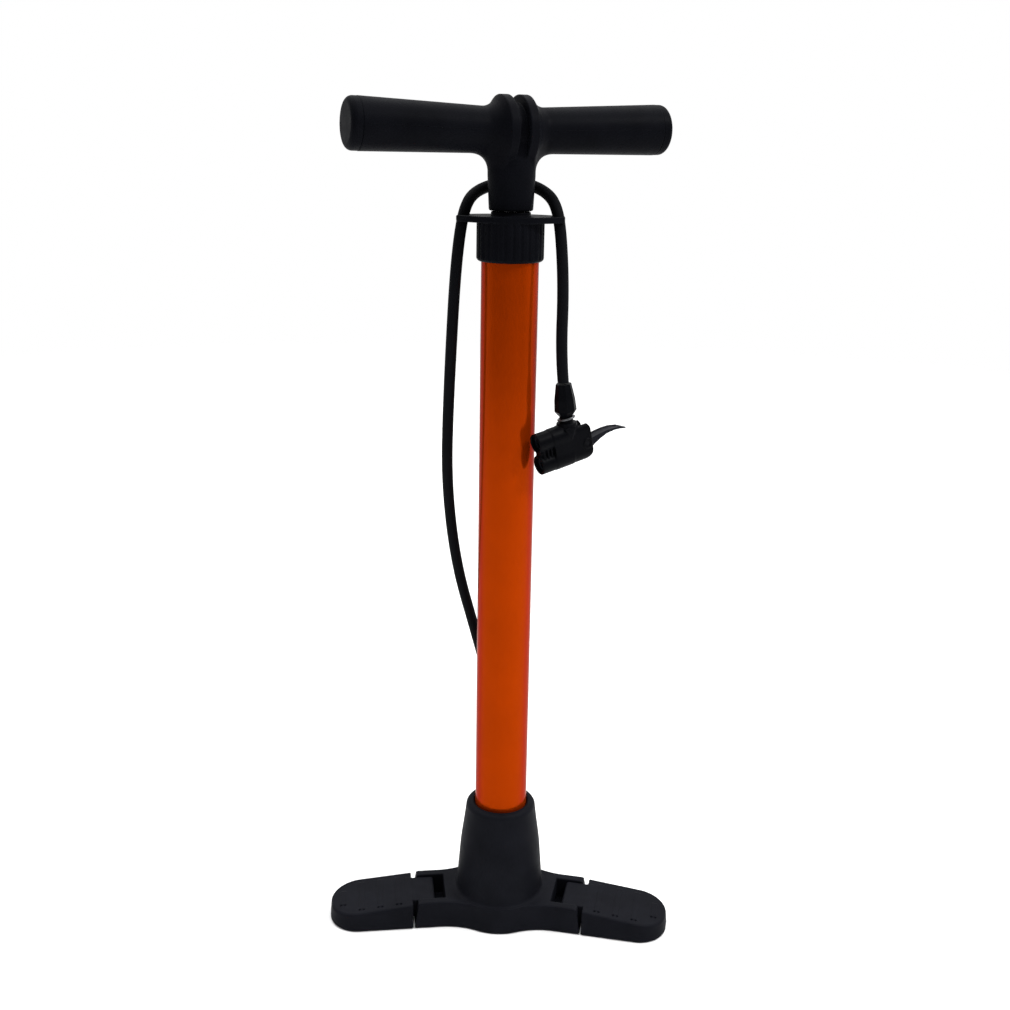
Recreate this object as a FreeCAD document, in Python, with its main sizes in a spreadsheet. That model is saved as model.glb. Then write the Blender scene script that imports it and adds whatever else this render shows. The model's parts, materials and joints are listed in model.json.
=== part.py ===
import FreeCAD, Part
import Sketcher
import math
import os

# Floor bike pump. Millimetres, +Z up. The origin is on the floor, on the axis of the barrel.
# +X is the side that the right foot points to, and the front of the pump faces -Y.

DOC = FreeCAD.newDocument("floor_bike_pump")
SHEET = DOC.addObject("Spreadsheet::Sheet", "sizes")
OUT_DIR = "parts"
UP = FreeCAD.Vector(0, 0, 1)

DRIVING_SIZES = (
    # base
    ("plate_height", 19.2),
    ("hub_radius", 37.8),
    ("arm_half_width", 24.7),
    ("arm_sweep", 9.0),
    ("waist_radius", 50.0),
    ("side_draft", 3.1),
    ("hinge_distance", 56.5),
    ("hinge_height", 10.7),
    ("prong_reach", 9.0),
    ("nose_round", 6.5),
    ("slot_start", 42.1),
    ("slot_half_width", 15.0),
    ("slot_floor", 2.5),
    ("pin_radius", 2.0),
    ("pin_length", 38.6),
    ("socket_top", 91.0),
    ("socket_floor", 24.0),
    ("socket_rim_round", 4.2),
    ("sump_radius", 6.0),
    ("passage_radius", 1.8),
    ("seat_radius", 2.5),
    ("chamber_radius", 5.0),
    ("chamber_floor", 20.0),
    ("outlet_y", 41.0),
    ("outlet_top", 34.0),
    ("outlet_radius", 10.0),
    ("outlet_wall", 3.0),
    ("passage_height", 14.0),
    # feet
    ("foot_gap", 1.1),
    ("foot_tip", 128.0),
    ("foot_half_width", 25.0),
    ("foot_tip_height", 11.5),
    ("foot_root_height", 17.9),
    ("foot_corner", 21.5),
    ("tip_draft", 1.4),
    ("tongue_half_width", 14.7),
    ("knuckle_radius", 6.7),
    ("tongue_round", 2.2),
    ("top_edge_round", 1.6),
    ("tread_width", 4.0),
    ("tread_height", 0.5),
    ("tread_length", 34.0),
    ("tread_tip_length", 17.0),
    # barrel, cap and rod
    ("barrel_radius", 19.0),
    ("barrel_wall", 1.2),
    ("barrel_bottom", 25.5),
    ("barrel_top", 510.2),
    ("slip_gap", 0.05),
    ("cap_radius", 22.2),
    ("cap_bottom", 487.2),
    ("cap_edge", 2.2),
    ("flange_top", 516.4),
    ("flange_thickness", 4.0),
    ("flange_half_depth", 22.0),
    ("flange_reach", 35.3),
    ("flange_tip_half", 5.6),
    ("ear_centre", 31.2),
    ("ear_radius", 4.6),
    ("ear_slack", 0.9),
    ("ear_mouth", 2.9),
    ("vent_radius", 0.9),
    ("boss_radius", 13.0),
    ("boss_top", 519.0),
    ("bush_radius", 9.0),
    ("rod_radius", 5.0),
    ("spigot_radius", 4.0),
    ("nut_flats", 13.0),
    ("shoulder_drop", 12.5),
    # handle
    ("handle_yaw", 25.2),
    ("bar_height", 568.8),
    ("bar_half_length", 102.5),
    ("bar_end_radius", 16.2),
    ("bar_neck_radius", 14.4),
    ("bar_rise", 1.42),
    ("bar_bore", 11.0),
    ("ridge_radius", 22.3),
    ("ridge_outside", 9.4),
    ("flank_end", 16.0),
    ("groove_half_width", 3.6),
    ("groove_radius", 17.0),
    ("stem_bottom", 519.5),
    ("stem_radius", 14.4),
    ("stem_top_radius", 15.5),
    ("gusset_radius", 12.0),
    ("end_cap_length", 7.0),
    ("end_cap_round", 4.0),
    # hose
    ("hose_radius", 3.8),
    # chuck
    ("barrel_pitch_half", 7.65),
    ("mouth_radius", 6.75),
    ("bore_radius", 5.35),
    ("chuck_front", 20.0),
    ("chuck_back", -20.4),
    ("waist_back", 9.0),
    ("cheek_round", 8.0),
    ("lever_slot_half", 4.9),
    ("pivot_u", -16.4),
    ("pivot_w", -2.0),
    ("lever_pin_radius", 1.5),
    ("lever_pin_length", 13.2),
    ("pivot_ring_inside", 2.7),
    ("pivot_ring_outside", 3.5),
    ("lever_half_width", 4.65),
    ("cam_radius", 5.5),
    ("stub_u", -5.0),
    ("stub_lean", 5.0),
    ("neck_radius", 4.6),
    ("barb_radius", 3.0),
    ("nut_bottom", 20.2),
    ("nut_top", 41.9),
    ("schrader_radius", 4.0),
    ("presta_radius", 3.0),
)

# Outside of the barrel's socket, as (radius, height), from the flare at the plate to the rim.
SOCKET_FLARE = 35.0
SOCKET_TAPER = ((31.7, 30.6), (31.0, 39.2), (29.7, 56.5), (28.6, 65.0), (26.8, 77.8))

# Treads on a foot: how far out the middle of each one is, and the size that gives its length.
TREADS = ((77.0, "tread_length"), (90.8, "tread_length"), (104.6, "tread_length"),
          (118.4, "tread_tip_length"))

# Side view of the lever, as (distance back from the pivot, height above it).
LEVER_UNDER = ((0, -5.4), (3, -5.6), (6.5, -3.2), (12, -0.8), (17.5, 1.0), (24, 1.4), (29, 0.6),
               (35.4, -1.5))
LEVER_TOP = ((35.8, -0.9), (30, 1.9), (24, 3.1), (18, 3.3), (12, 2.9), (7, 2.2), (0, 1.2))

# The valve head's nut, as (height on the stub, radius to its corners).
NUT_CORNERS = ((20.2, 5.2), (23.4, 7.6), (31.2, 7.1), (41.9, 5.3))

# Where the valve head hangs: its centre, the way its bores point, and how far they dip.
CHUCK_CENTRE = FreeCAD.Vector(37.6, -8.5, 365.8)
CHUCK_HEADING = 31.9
CHUCK_DIP = 12.2

# The hose's route, from the base nut to the valve head's nut. Runs that pass through a clip of
# the flange have their middle at the clip.
HOSE_ROUTE = (
    (0.0, 41.0, 56.0),
    (0.0, 41.0, 76.0),
    (-1.6, 39.3, 106.0),
    (-6.0, 34.5, 145.0),
    (-14.1, 28.0, 184.6),
    (-23.6, 22.0, 223.6),
    (-33.1, 15.0, 261.8),
    (-38.8, 8.5, 301.2),
    (-41.5, 3.0, 343.8),
    (-40.2, -1.5, 386.6),
    (-38.1, -4.6, 430.6),
    (-35.6, -6.0, 476.1),
    (-32.9, -3.0, 505.4),
    (-29.5, 3.0, 523.4),
    (-23.0, 13.5, 531.6),
    (-8.0, 22.0, 536.5),
    (8.0, 22.0, 536.5),
    (22.0, 13.5, 531.6),
    (29.4, 3.0, 523.4),
    (33.0, -3.0, 505.4),
    (35.5, -8.0, 469.6),
    (35.0, -10.1, 429.3),
    (37.1, -8.8, 409.4),
)


class Size:
    """A length from the sheet, or worked out from it, with the expression that gives it."""

    def __init__(self, value, text):
        self.value = value
        self.text = text

    def __add__(self, other):
        other = as_size(other)
        return Size(self.value + other.value, f"({self.text} + {other.text})")

    def __sub__(self, other):
        other = as_size(other)
        return Size(self.value - other.value, f"({self.text} - {other.text})")

    def __rsub__(self, other):
        return as_size(other) - self

    def __mul__(self, other):
        other = as_size(other)
        return Size(self.value * other.value, f"({self.text} * {other.text})")

    def __truediv__(self, other):
        other = as_size(other)
        return Size(self.value / other.value, f"({self.text} / {other.text})")

    def __neg__(self):
        return Size(-self.value, f"(0 - {self.text})")

    __radd__ = __add__
    __rmul__ = __mul__


def as_size(number):
    """A Size as it is, or a plain number turned into one."""
    if isinstance(number, Size):
        return number
    return Size(float(number), f"({float(number)!r})")


def cosine(angle):
    return Size(math.cos(math.radians(angle.value)), f"cos({angle.text} * 1 deg)")


def sine(angle):
    return Size(math.sin(math.radians(angle.value)), f"sin({angle.text} * 1 deg)")


def root(number):
    return Size(math.sqrt(number.value), f"sqrt({number.text})")


def fill_sheet():
    """Put the driving sizes in the sheet and return them as Size objects by name."""
    found = {}
    for row, (alias, number) in enumerate(DRIVING_SIZES, start=1):
        SHEET.set(f"A{row}", alias)
        SHEET.set(f"B{row}", str(number))
        SHEET.setAlias(f"B{row}", alias)
    DOC.recompute()
    for alias, _ in DRIVING_SIZES:
        found[alias] = Size(float(SHEET.get(alias)), f"sizes.{alias}")
    return found


S = fill_sheet()


def bind(target, path, size):
    """Set a property to a size and tie it to the sheet."""
    target.setExpression(path, as_size(size).text)


def new_body(label):
    body = DOC.addObject("PartDesign::Body", label)
    body.Label = label
    return body


def origin_part(body, role):
    for feature in body.Origin.OriginFeatures:
        if feature.Role == role:
            return feature
    raise ValueError(role)


def new_sketch(body, name, role, height=None, turn=None, shift=(0, 0)):
    """A sketch on one of the body's own origin planes, raised by height and turned in place."""
    sketch = body.newObject("Sketcher::SketchObject", f"{body.Label}_{name}")
    sketch.AttachmentSupport = [(origin_part(body, role), "")]
    sketch.MapMode = "FlatFace"
    axis, angle = turn if turn else ((0, 0, 1), 0)
    base = FreeCAD.Vector(shift[0], shift[1], 0)
    sketch.AttachmentOffset = FreeCAD.Placement(base, FreeCAD.Rotation(FreeCAD.Vector(*axis), angle))
    if height is not None:
        bind(sketch, "AttachmentOffset.Base.z", height)
    return sketch


def pin_point(sketch, geometry, position, x, y, tag):
    """Fix a point of the sketch by its distances from the sketch's origin."""
    for kind, axis, size in (("DistanceX", -2, as_size(x)), ("DistanceY", -1, as_size(y))):
        if size.value == 0:
            sketch.addConstraint(Sketcher.Constraint("PointOnObject", geometry, position, axis))
            continue
        rule = Sketcher.Constraint(kind, -1, 1, geometry, position, size.value)
        number = sketch.addConstraint(rule)
        sketch.renameConstraint(number, f"{tag}_{kind}")
        bind(sketch, f"Constraints.{tag}_{kind}", size)


def add_circle(sketch, x, y, radius, tag="circle"):
    """A circle, or a hole when it lies inside another outline."""
    x, y, radius = as_size(x), as_size(y), as_size(radius)
    centre = FreeCAD.Vector(x.value, y.value, 0)
    number = sketch.addGeometry(Part.Circle(centre, UP, radius.value))
    pin_point(sketch, number, 3, x, y, tag)
    rule = sketch.addConstraint(Sketcher.Constraint("Radius", number, radius.value))
    sketch.renameConstraint(rule, f"{tag}_radius")
    bind(sketch, f"Constraints.{tag}_radius", radius)


def arc_between(start, end, radius, turn):
    """The short arc from start to end; turn is 1 for anticlockwise and -1 for clockwise."""
    chord = end - start
    middle = (start + end) * 0.5
    rise = math.sqrt(max(radius ** 2 - (chord.Length / 2) ** 2, 0.0))
    side = FreeCAD.Vector(-chord.y, chord.x, 0).normalize()
    centre = middle + side * (rise * turn)
    first, last = (start, end) if turn > 0 else (end, start)
    begin = math.atan2(first.y - centre.y, first.x - centre.x)
    finish = math.atan2(last.y - centre.y, last.x - centre.x)
    return Part.ArcOfCircle(Part.Circle(centre, UP, radius), begin, finish)


def pin_half_circle(sketch, number, start, end, tag):
    """Hold the centre of a half circle level with its two ends."""
    level = abs(as_size(start[1]).value - as_size(end[1]).value) < 1e-6
    kind, size = ("DistanceY", end[1]) if level else ("DistanceX", end[0])
    size = as_size(size)
    if size.value == 0:
        sketch.addConstraint(Sketcher.Constraint("PointOnObject", number, 3, -1 if level else -2))
        return
    rule = sketch.addConstraint(Sketcher.Constraint(kind, -1, 1, number, 3, size.value))
    sketch.renameConstraint(rule, f"{tag}_centre")
    bind(sketch, f"Constraints.{tag}_centre", size)


def add_outline(sketch, corners, tag="edge"):
    """A closed outline. A corner is (x, y), or (x, y, radius, turn) when an arc leads to it."""
    points = [FreeCAD.Vector(as_size(c[0]).value, as_size(c[1]).value, 0) for c in corners]
    pieces = []
    for index, corner in enumerate(corners):
        start = points[index - 1]
        end = points[index]
        if len(corner) == 2:
            number = sketch.addGeometry(Part.LineSegment(start, end))
            pieces.append((number, 1, 2))
            continue
        radius = as_size(corner[2])
        number = sketch.addGeometry(arc_between(start, end, radius.value, corner[3]))
        pieces.append((number, 1, 2) if corner[3] > 0 else (number, 2, 1))
        if (end - start).Length > 1.9999 * radius.value:
            pin_half_circle(sketch, number, corners[index - 1], corner, f"{tag}_{index}")
            continue
        rule = sketch.addConstraint(Sketcher.Constraint("Radius", number, radius.value))
        sketch.renameConstraint(rule, f"{tag}_{index}_radius")
        bind(sketch, f"Constraints.{tag}_{index}_radius", radius)
    for index, (number, _, last) in enumerate(pieces):
        following, first, _ = pieces[(index + 1) % len(pieces)]
        sketch.addConstraint(Sketcher.Constraint("Coincident", number, last, following, first))
        pin_point(sketch, number, last, corners[index][0], corners[index][1], f"{tag}_{index}")


def rectangle(left, right, low, high):
    return ((left, low), (right, low), (right, high), (left, high))


def volume_of(body):
    return body.Shape.Volume if body.Tip is not None and not body.Shape.isNull() else 0.0


def finish_feature(body, feature, before, grows):
    """Recompute, and stop if the feature left the body's volume as it was."""
    body.Tip = feature
    DOC.recompute()
    change = feature.Shape.Volume - before
    if not feature.isValid() or (change <= 0.001 if grows else change >= -0.001):
        raise RuntimeError(f"{feature.Label}: volume changed by {change:.3f}")
    return feature


def pad(body, sketch, length, symmetric=False, reverse=False):
    before = volume_of(body)
    feature = body.newObject("PartDesign::Pad", f"{sketch.Label}_pad")
    feature.Profile = sketch
    feature.SideType = "Symmetric" if symmetric else "One side"
    feature.Reversed = reverse
    bind(feature, "Length", length)
    return finish_feature(body, feature, before, True)


def pocket(body, sketch, length, symmetric=False, reverse=False):
    before = volume_of(body)
    feature = body.newObject("PartDesign::Pocket", f"{sketch.Label}_pocket")
    feature.Profile = sketch
    feature.SideType = "Symmetric" if symmetric else "One side"
    feature.Reversed = reverse
    bind(feature, "Length", length)
    return finish_feature(body, feature, before, False)


def revolve(body, sketch, axis="V_Axis"):
    before = volume_of(body)
    feature = body.newObject("PartDesign::Revolution", f"{sketch.Label}_turn")
    feature.Profile = sketch
    feature.ReferenceAxis = (sketch, [axis])
    feature.Angle = 360
    return finish_feature(body, feature, before, True)


def groove(body, sketch, axis="V_Axis"):
    before = volume_of(body)
    feature = body.newObject("PartDesign::Groove", f"{sketch.Label}_groove")
    feature.Profile = sketch
    feature.ReferenceAxis = (sketch, [axis])
    feature.Angle = 360
    return finish_feature(body, feature, before, False)


def loft(body, low, high):
    before = volume_of(body)
    feature = body.newObject("PartDesign::AdditiveLoft", f"{low.Label}_loft")
    feature.Profile = low
    feature.Sections = [high]
    feature.Ruled = True
    return finish_feature(body, feature, before, True)


def mirror(body, originals, role, grows=False):
    before = volume_of(body)
    feature = body.newObject("PartDesign::Mirrored", f"{body.Label}_mirror")
    feature.Originals = originals
    feature.MirrorPlane = (origin_part(body, role), [""])
    return finish_feature(body, feature, before, grows)


def polar(body, original, count, grows=False):
    before = volume_of(body)
    feature = body.newObject("PartDesign::PolarPattern", f"{original.Label}_ring")
    feature.Originals = [original]
    feature.Axis = (origin_part(body, "Z_Axis"), [""])
    feature.Angle = 360
    feature.Occurrences = count
    return finish_feature(body, feature, before, grows)


def round_edges(body, radius, wanted):
    """Fillet the edges of the body that wanted(edge) picks."""
    before = volume_of(body)
    base = body.Tip
    names = [f"Edge{i + 1}" for i, edge in enumerate(base.Shape.Edges) if wanted(edge)]
    feature = body.newObject("PartDesign::Fillet", f"{body.Label}_round_{len(body.Group)}")
    feature.Base = (base, names)
    bind(feature, "Radius", radius)
    body.Tip = feature
    DOC.recompute()
    if not feature.isValid() or abs(feature.Shape.Volume - before) < 0.001:
        raise RuntimeError(f"{feature.Label}: no fillet on {len(names)} edges")
    return feature


def turned_piece(label, outline, base=(0, 0, 0)):
    """A body of revolution about Z from a half outline of (radius, height) corners."""
    body = new_body(label)
    sketch = new_sketch(body, "profile", "XZ_Plane")
    add_outline(sketch, outline)
    revolve(body, sketch)
    body.Placement = FreeCAD.Placement(FreeCAD.Vector(*base), FreeCAD.Rotation())
    return body


def ring_outline(inner, outer, low, high):
    return rectangle(inner, outer, low, high)


def on_arm(distance, across):
    """Plan position of a point on the right arm: distance along it, across is + to the rear."""
    x = distance * cosine(S["arm_sweep"]) + across * sine(S["arm_sweep"])
    y = across * cosine(S["arm_sweep"]) - distance * sine(S["arm_sweep"])
    return x, y


# ---------------------------------------------------------------- base

def base_outline(inset):
    """Plan of the base plate, its edges moved in by inset: a disc with two swept arms."""
    disc = S["hub_radius"] - inset
    half = S["arm_half_width"] - inset
    waist = S["waist_radius"]
    end = S["hinge_distance"] + S["prong_reach"]
    reach = disc + waist
    along = root(reach * reach - (half + waist) * (half + waist))
    corners = {}
    for side, sign in (("front", -1.0), ("rear", 1.0)):
        tip = on_arm(end, half * sign)
        blend = on_arm(along, half * sign)
        rim = on_arm(along * disc / reach, (half + waist) * sign * disc / reach)
        corners[side] = (tip, blend, rim)
    front, rear = corners["front"], corners["rear"]
    right = [
        (front[2][0], front[2][1], disc, 1),
        (front[1][0], front[1][1], waist, -1),
        front[0],
        rear[0],
        rear[1],
        (rear[2][0], rear[2][1], waist, -1),
    ]
    left = [
        (-rear[2][0], rear[2][1], disc, 1),
        (-rear[1][0], rear[1][1], waist, -1),
        (-rear[0][0], rear[0][1]),
        (-front[0][0], front[0][1]),
        (-front[1][0], front[1][1]),
        (-front[2][0], front[2][1], waist, -1),
    ]
    return right + left


def make_foot_base():
    body = new_body("foot_base")
    low = new_sketch(body, "floor_outline", "XY_Plane")
    add_outline(low, base_outline(as_size(0)))
    high = new_sketch(body, "top_outline", "XY_Plane", height=S["plate_height"])
    add_outline(high, base_outline(S["side_draft"]))
    loft(body, low, high)

    lobe = new_sketch(body, "outlet_lobe", "XY_Plane")
    half = S["outlet_radius"] + S["outlet_wall"]
    back = S["outlet_y"]
    add_outline(lobe, ((-half, 20), (half, 20), (half, back), (-half, back, half, 1)))
    pad(body, lobe, S["plate_height"] - S["outlet_wall"])
    boss = new_sketch(body, "outlet_boss", "XY_Plane", height=S["plate_height"] - 6)
    add_circle(boss, 0, back, S["outlet_radius"])
    pad(body, boss, S["outlet_top"] - S["plate_height"] + 6)

    socket = new_sketch(body, "socket_profile", "XZ_Plane")
    top = S["socket_top"]
    rim = S["socket_rim_round"]
    add_outline(socket, ((0, 8), (SOCKET_FLARE, 8), (SOCKET_FLARE, S["plate_height"] + 0.3),
                         (32.4, S["plate_height"] + 3.3, 2.9, -1))
                + SOCKET_TAPER
                + ((25.7, top - rim), (as_size(25.8) - rim, top, rim, 1), (0, top)))
    revolve(body, socket)
    bore = new_sketch(body, "barrel_socket", "XY_Plane", height=top)
    add_circle(bore, 0, 0, S["barrel_radius"] + S["slip_gap"])
    pocket(body, bore, top - S["socket_floor"])
    lead = new_sketch(body, "socket_lead", "XZ_Plane")
    clear = S["barrel_radius"] + S["slip_gap"]
    add_outline(lead, ((clear - 1, top + 1), (clear - 1, top - 2), (clear, top - 2),
                       (clear + 1.2, top - 0.4), (clear + 1.2, top + 1)))
    groove(body, lead)
    sump = new_sketch(body, "sump", "XY_Plane", height=S["socket_floor"])
    add_circle(sump, 0, 0, S["sump_radius"])
    pocket(body, sump, S["socket_floor"] - S["passage_height"] + 2)

    passage = new_sketch(body, "air_passage", "XZ_Plane")
    add_circle(passage, 0, S["passage_height"], S["passage_radius"])
    pocket(body, passage, S["outlet_y"])
    seat = new_sketch(body, "valve_seat", "XY_Plane", height=S["outlet_top"])
    add_circle(seat, 0, back, S["seat_radius"])
    pocket(body, seat, S["outlet_top"] - S["passage_height"] + 2)
    chamber = new_sketch(body, "valve_chamber", "XY_Plane", height=S["outlet_top"])
    add_circle(chamber, 0, back, S["chamber_radius"])
    pocket(body, chamber, S["outlet_top"] - S["chamber_floor"])

    slot = new_sketch(body, "prong_slot", "XY_Plane", height=S["plate_height"])
    wide = S["slot_half_width"]
    ends = (S["slot_start"], S["hinge_distance"] + S["prong_reach"] + 2)
    add_outline(slot, (on_arm(ends[0], -wide), on_arm(ends[1], -wide),
                       on_arm(ends[1], wide), on_arm(ends[0], wide)))
    slot_cut = pocket(body, slot, S["plate_height"] - S["slot_floor"])
    swing = ((0, 1, 0), -S["arm_sweep"].value)
    nose = new_sketch(body, "prong_nose", "XZ_Plane", turn=swing)
    axis = S["hinge_distance"]
    end = axis + S["prong_reach"]
    high = S["plate_height"]
    turn = S["nose_round"]
    add_outline(nose, ((end + 3, high + 2), (end - turn, high + 2), (end - turn, high),
                       (end, high - turn, turn, -1), (end + 3, high - turn)))
    nose_cut = pocket(body, nose, 60, symmetric=True)
    pin_hole = new_sketch(body, "pin_hole", "XZ_Plane", turn=swing)
    add_circle(pin_hole, axis, S["hinge_height"], S["pin_radius"] + 0.02)
    pin_cut = pocket(body, pin_hole, S["pin_length"] + 0.4, symmetric=True)
    mirror(body, [slot_cut, nose_cut, pin_cut], "YZ_Plane")
    return body


def place_on_arm(body, side):
    """Stand a piece modelled along +X on the right (1) or the left (-1) arm."""
    angle = -S["arm_sweep"].value if side > 0 else 180 + S["arm_sweep"].value
    body.Placement = FreeCAD.Placement(FreeCAD.Vector(0, 0, 0), FreeCAD.Rotation(UP, angle))


def make_hinge_pin(label, side):
    body = new_body(label)
    sketch = new_sketch(body, "section", "XZ_Plane")
    add_circle(sketch, S["hinge_distance"], S["hinge_height"], S["pin_radius"])
    pad(body, sketch, S["pin_length"], symmetric=True)
    place_on_arm(body, side)
    return body


def foot_outline(inset):
    start = S["hinge_distance"] + S["prong_reach"] + S["foot_gap"]
    half = S["foot_half_width"] - inset
    tip = S["foot_tip"] - inset * S["tip_draft"] / S["side_draft"]
    corner = S["foot_corner"]
    return (
        (start, -half),
        (tip - corner, -half),
        (tip, -half + corner, corner, 1),
        (tip, half - corner),
        (tip - corner, half, corner, 1),
        (start, half),
    )


def make_foot(label, side):
    """A foot along +X; its front edge is at -Y on the right foot and at +Y on the left one."""
    body = new_body(label)
    root_height = S["foot_root_height"]
    low = new_sketch(body, "floor_outline", "XY_Plane")
    add_outline(low, foot_outline(as_size(0)))
    high = new_sketch(body, "top_outline", "XY_Plane", height=root_height)
    add_outline(high, foot_outline(S["side_draft"]))
    loft(body, low, high)
    start = S["hinge_distance"] + S["prong_reach"] + S["foot_gap"]
    span = S["foot_tip"] - start
    fall = (root_height - S["foot_tip_height"]) / span

    slope = new_sketch(body, "top_slope", "XZ_Plane")
    beyond = S["foot_tip"] + 5
    add_outline(slope, ((start, root_height), (beyond, root_height - fall * (beyond - start)),
                        (beyond, root_height + 5), (start, root_height + 5)))
    pocket(body, slope, 60, symmetric=True)
    round_edges(body, S["top_edge_round"], lambda edge: is_top_edge(edge, fall.value, start.value, root_height.value))

    axis = S["hinge_distance"]
    middle = S["hinge_height"]
    knuckle = S["knuckle_radius"]
    crown = root_height - 0.3
    bend = S["tongue_round"]
    tongue = new_sketch(body, "tongue", "XZ_Plane")
    add_outline(tongue, ((start + 3, crown), (axis - knuckle + bend, crown),
                         (axis - knuckle, crown - bend, bend, 1), (axis - knuckle, middle),
                         (axis, middle - knuckle, knuckle, 1), (start + 3, middle - knuckle)))
    pad(body, tongue, S["tongue_half_width"] * 2, symmetric=True)
    hole = new_sketch(body, "pin_hole", "XZ_Plane")
    add_circle(hole, axis, middle, S["pin_radius"] + 0.08)
    pocket(body, hole, 60, symmetric=True)

    for index, (centre, length_name) in enumerate(TREADS):
        length = S[length_name]
        near = as_size(centre) - S["tread_width"] / 2
        far = as_size(centre) + S["tread_width"] / 2
        bar = new_sketch(body, f"tread_{index}", "XZ_Plane")
        near_z = root_height - fall * (near - start)
        far_z = root_height - fall * (far - start)
        add_outline(bar, ((near, near_z - 2), (far, far_z - 2),
                          (far, far_z + S["tread_height"]), (near, near_z + S["tread_height"])))
        pad(body, bar, length, symmetric=True)
        dimples = new_sketch(body, f"dimples_{index}", "XY_Plane", height=far_z - 0.5)
        for end, along in (("near", near + 0.4), ("far", far - 0.4)):
            add_circle(dimples, along, length / 2 * -side - 0.5 * side, 0.6, end)
        pocket(body, dimples, 3, reverse=True)
    place_on_arm(body, side)
    return body


def is_top_edge(edge, fall, start, root_height):
    """Edges round the sloping top of a foot, left out at the hinge end."""
    for point in (edge.Vertexes[0].Point, edge.Vertexes[-1].Point):
        slope_z = root_height - fall * (point.x - start)
        if abs(point.z - slope_z) > 0.3:
            return False
    middle = edge.valueAt((edge.FirstParameter + edge.LastParameter) / 2)
    return not (abs(middle.y) < 5 and middle.x < start + 2)


def make_base_group():
    make_foot_base()
    for label, side in (("left_hinge_pin", -1), ("right_hinge_pin", 1)):
        make_hinge_pin(label, side)
    for label, side in (("left_foot", -1), ("right_foot", 1)):
        make_foot(label, side)


# ---------------------------------------------------------------- barrel, cap and piston

def make_barrel():
    radius = S["barrel_radius"]
    turned_piece("barrel_tube", ring_outline(radius - S["barrel_wall"], radius,
                                             S["barrel_bottom"], S["barrel_top"]))
    turned_piece("barrel_seal", ring_outline(14, radius - 0.1, S["socket_floor"],
                                             S["barrel_bottom"]))


def make_top_cap():
    body = new_body("top_cap")
    outside = S["cap_radius"]
    low = S["cap_bottom"]
    edge = S["cap_edge"]
    sketch = new_sketch(body, "profile", "XZ_Plane")
    bore = S["barrel_radius"] + S["slip_gap"]
    add_outline(sketch, (
        (bore, low),
        (outside - edge, low),
        (outside, low + edge, edge, 1),
        (outside, S["flange_top"] - 1),
        (S["boss_radius"], S["flange_top"] - 1),
        (S["boss_radius"], S["boss_top"] - 0.8),
        (S["boss_radius"] - 0.8, S["boss_top"]),
        (S["bush_radius"] + S["slip_gap"], S["boss_top"]),
        (S["bush_radius"] + S["slip_gap"], S["barrel_top"] + 0.5),
        (bore, S["barrel_top"] + 0.5),
    ))
    revolve(body, sketch)

    flute = new_sketch(body, "flute", "XY_Plane", height=low + 1)
    add_circle(flute, outside + 0.75, 0, 1.5)
    flute_cut = pocket(body, flute, S["flange_top"] - S["flange_thickness"] - low - 1, reverse=True)
    polar(body, flute_cut, 26)

    flange = new_sketch(body, "flange", "XY_Plane", height=S["flange_top"])
    reach = S["flange_reach"]
    tip = S["flange_tip_half"]
    sag = S["flange_half_depth"] - tip
    bow = (reach * reach + sag * sag) / (sag * 2)
    add_outline(flange, ((-reach, -tip), (reach, -tip, bow, 1), (reach, tip), (-reach, tip, bow, 1)))
    pad(body, flange, S["flange_thickness"], reverse=True)
    recess = new_sketch(body, "bush_bore", "XY_Plane", height=S["flange_top"])
    add_circle(recess, 0, 0, S["bush_radius"] + S["slip_gap"])
    pocket(body, recess, S["flange_thickness"])
    for name, side in (("left_ear", -1.0), ("right_ear", 1.0)):
        ear = new_sketch(body, name, "XY_Plane", height=S["flange_top"])
        centre = S["ear_centre"] * side
        slack = S["ear_slack"]
        radius = S["ear_radius"]
        mouth = S["ear_mouth"]
        out = (reach + 1) * side
        add_outline(ear, (
            (centre + radius * -side, -slack),
            (centre, -slack - radius, radius, int(side)),
            (centre + mouth * 0.35 * side, -slack - radius),
            (out, -mouth),
            (out, mouth),
            (centre + mouth * 0.35 * side, slack + radius),
            (centre, slack + radius),
            (centre + radius * -side, slack, radius, int(side)),
        ))
        pocket(body, ear, S["flange_thickness"])
    vent = new_sketch(body, "vent", "XY_Plane", height=S["flange_top"])
    add_circle(vent, 0, 16, S["vent_radius"])
    pocket(body, vent, 12)
    return body


def make_bush():
    rod = S["rod_radius"] + 0.05
    turned_piece("rod_guide_bush", (
        (rod, S["barrel_top"] - 11.7),
        (S["bush_radius"] - 2, S["barrel_top"] - 11.7),
        (S["bush_radius"] - 2, S["barrel_top"] - 4.5),
        (16, S["barrel_top"] - 4.5),
        (16, S["barrel_top"]),
        (S["bush_radius"], S["barrel_top"]),
        (S["bush_radius"], S["boss_top"] - 0.4),
        (rod, S["boss_top"] - 0.4),
    ))


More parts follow.
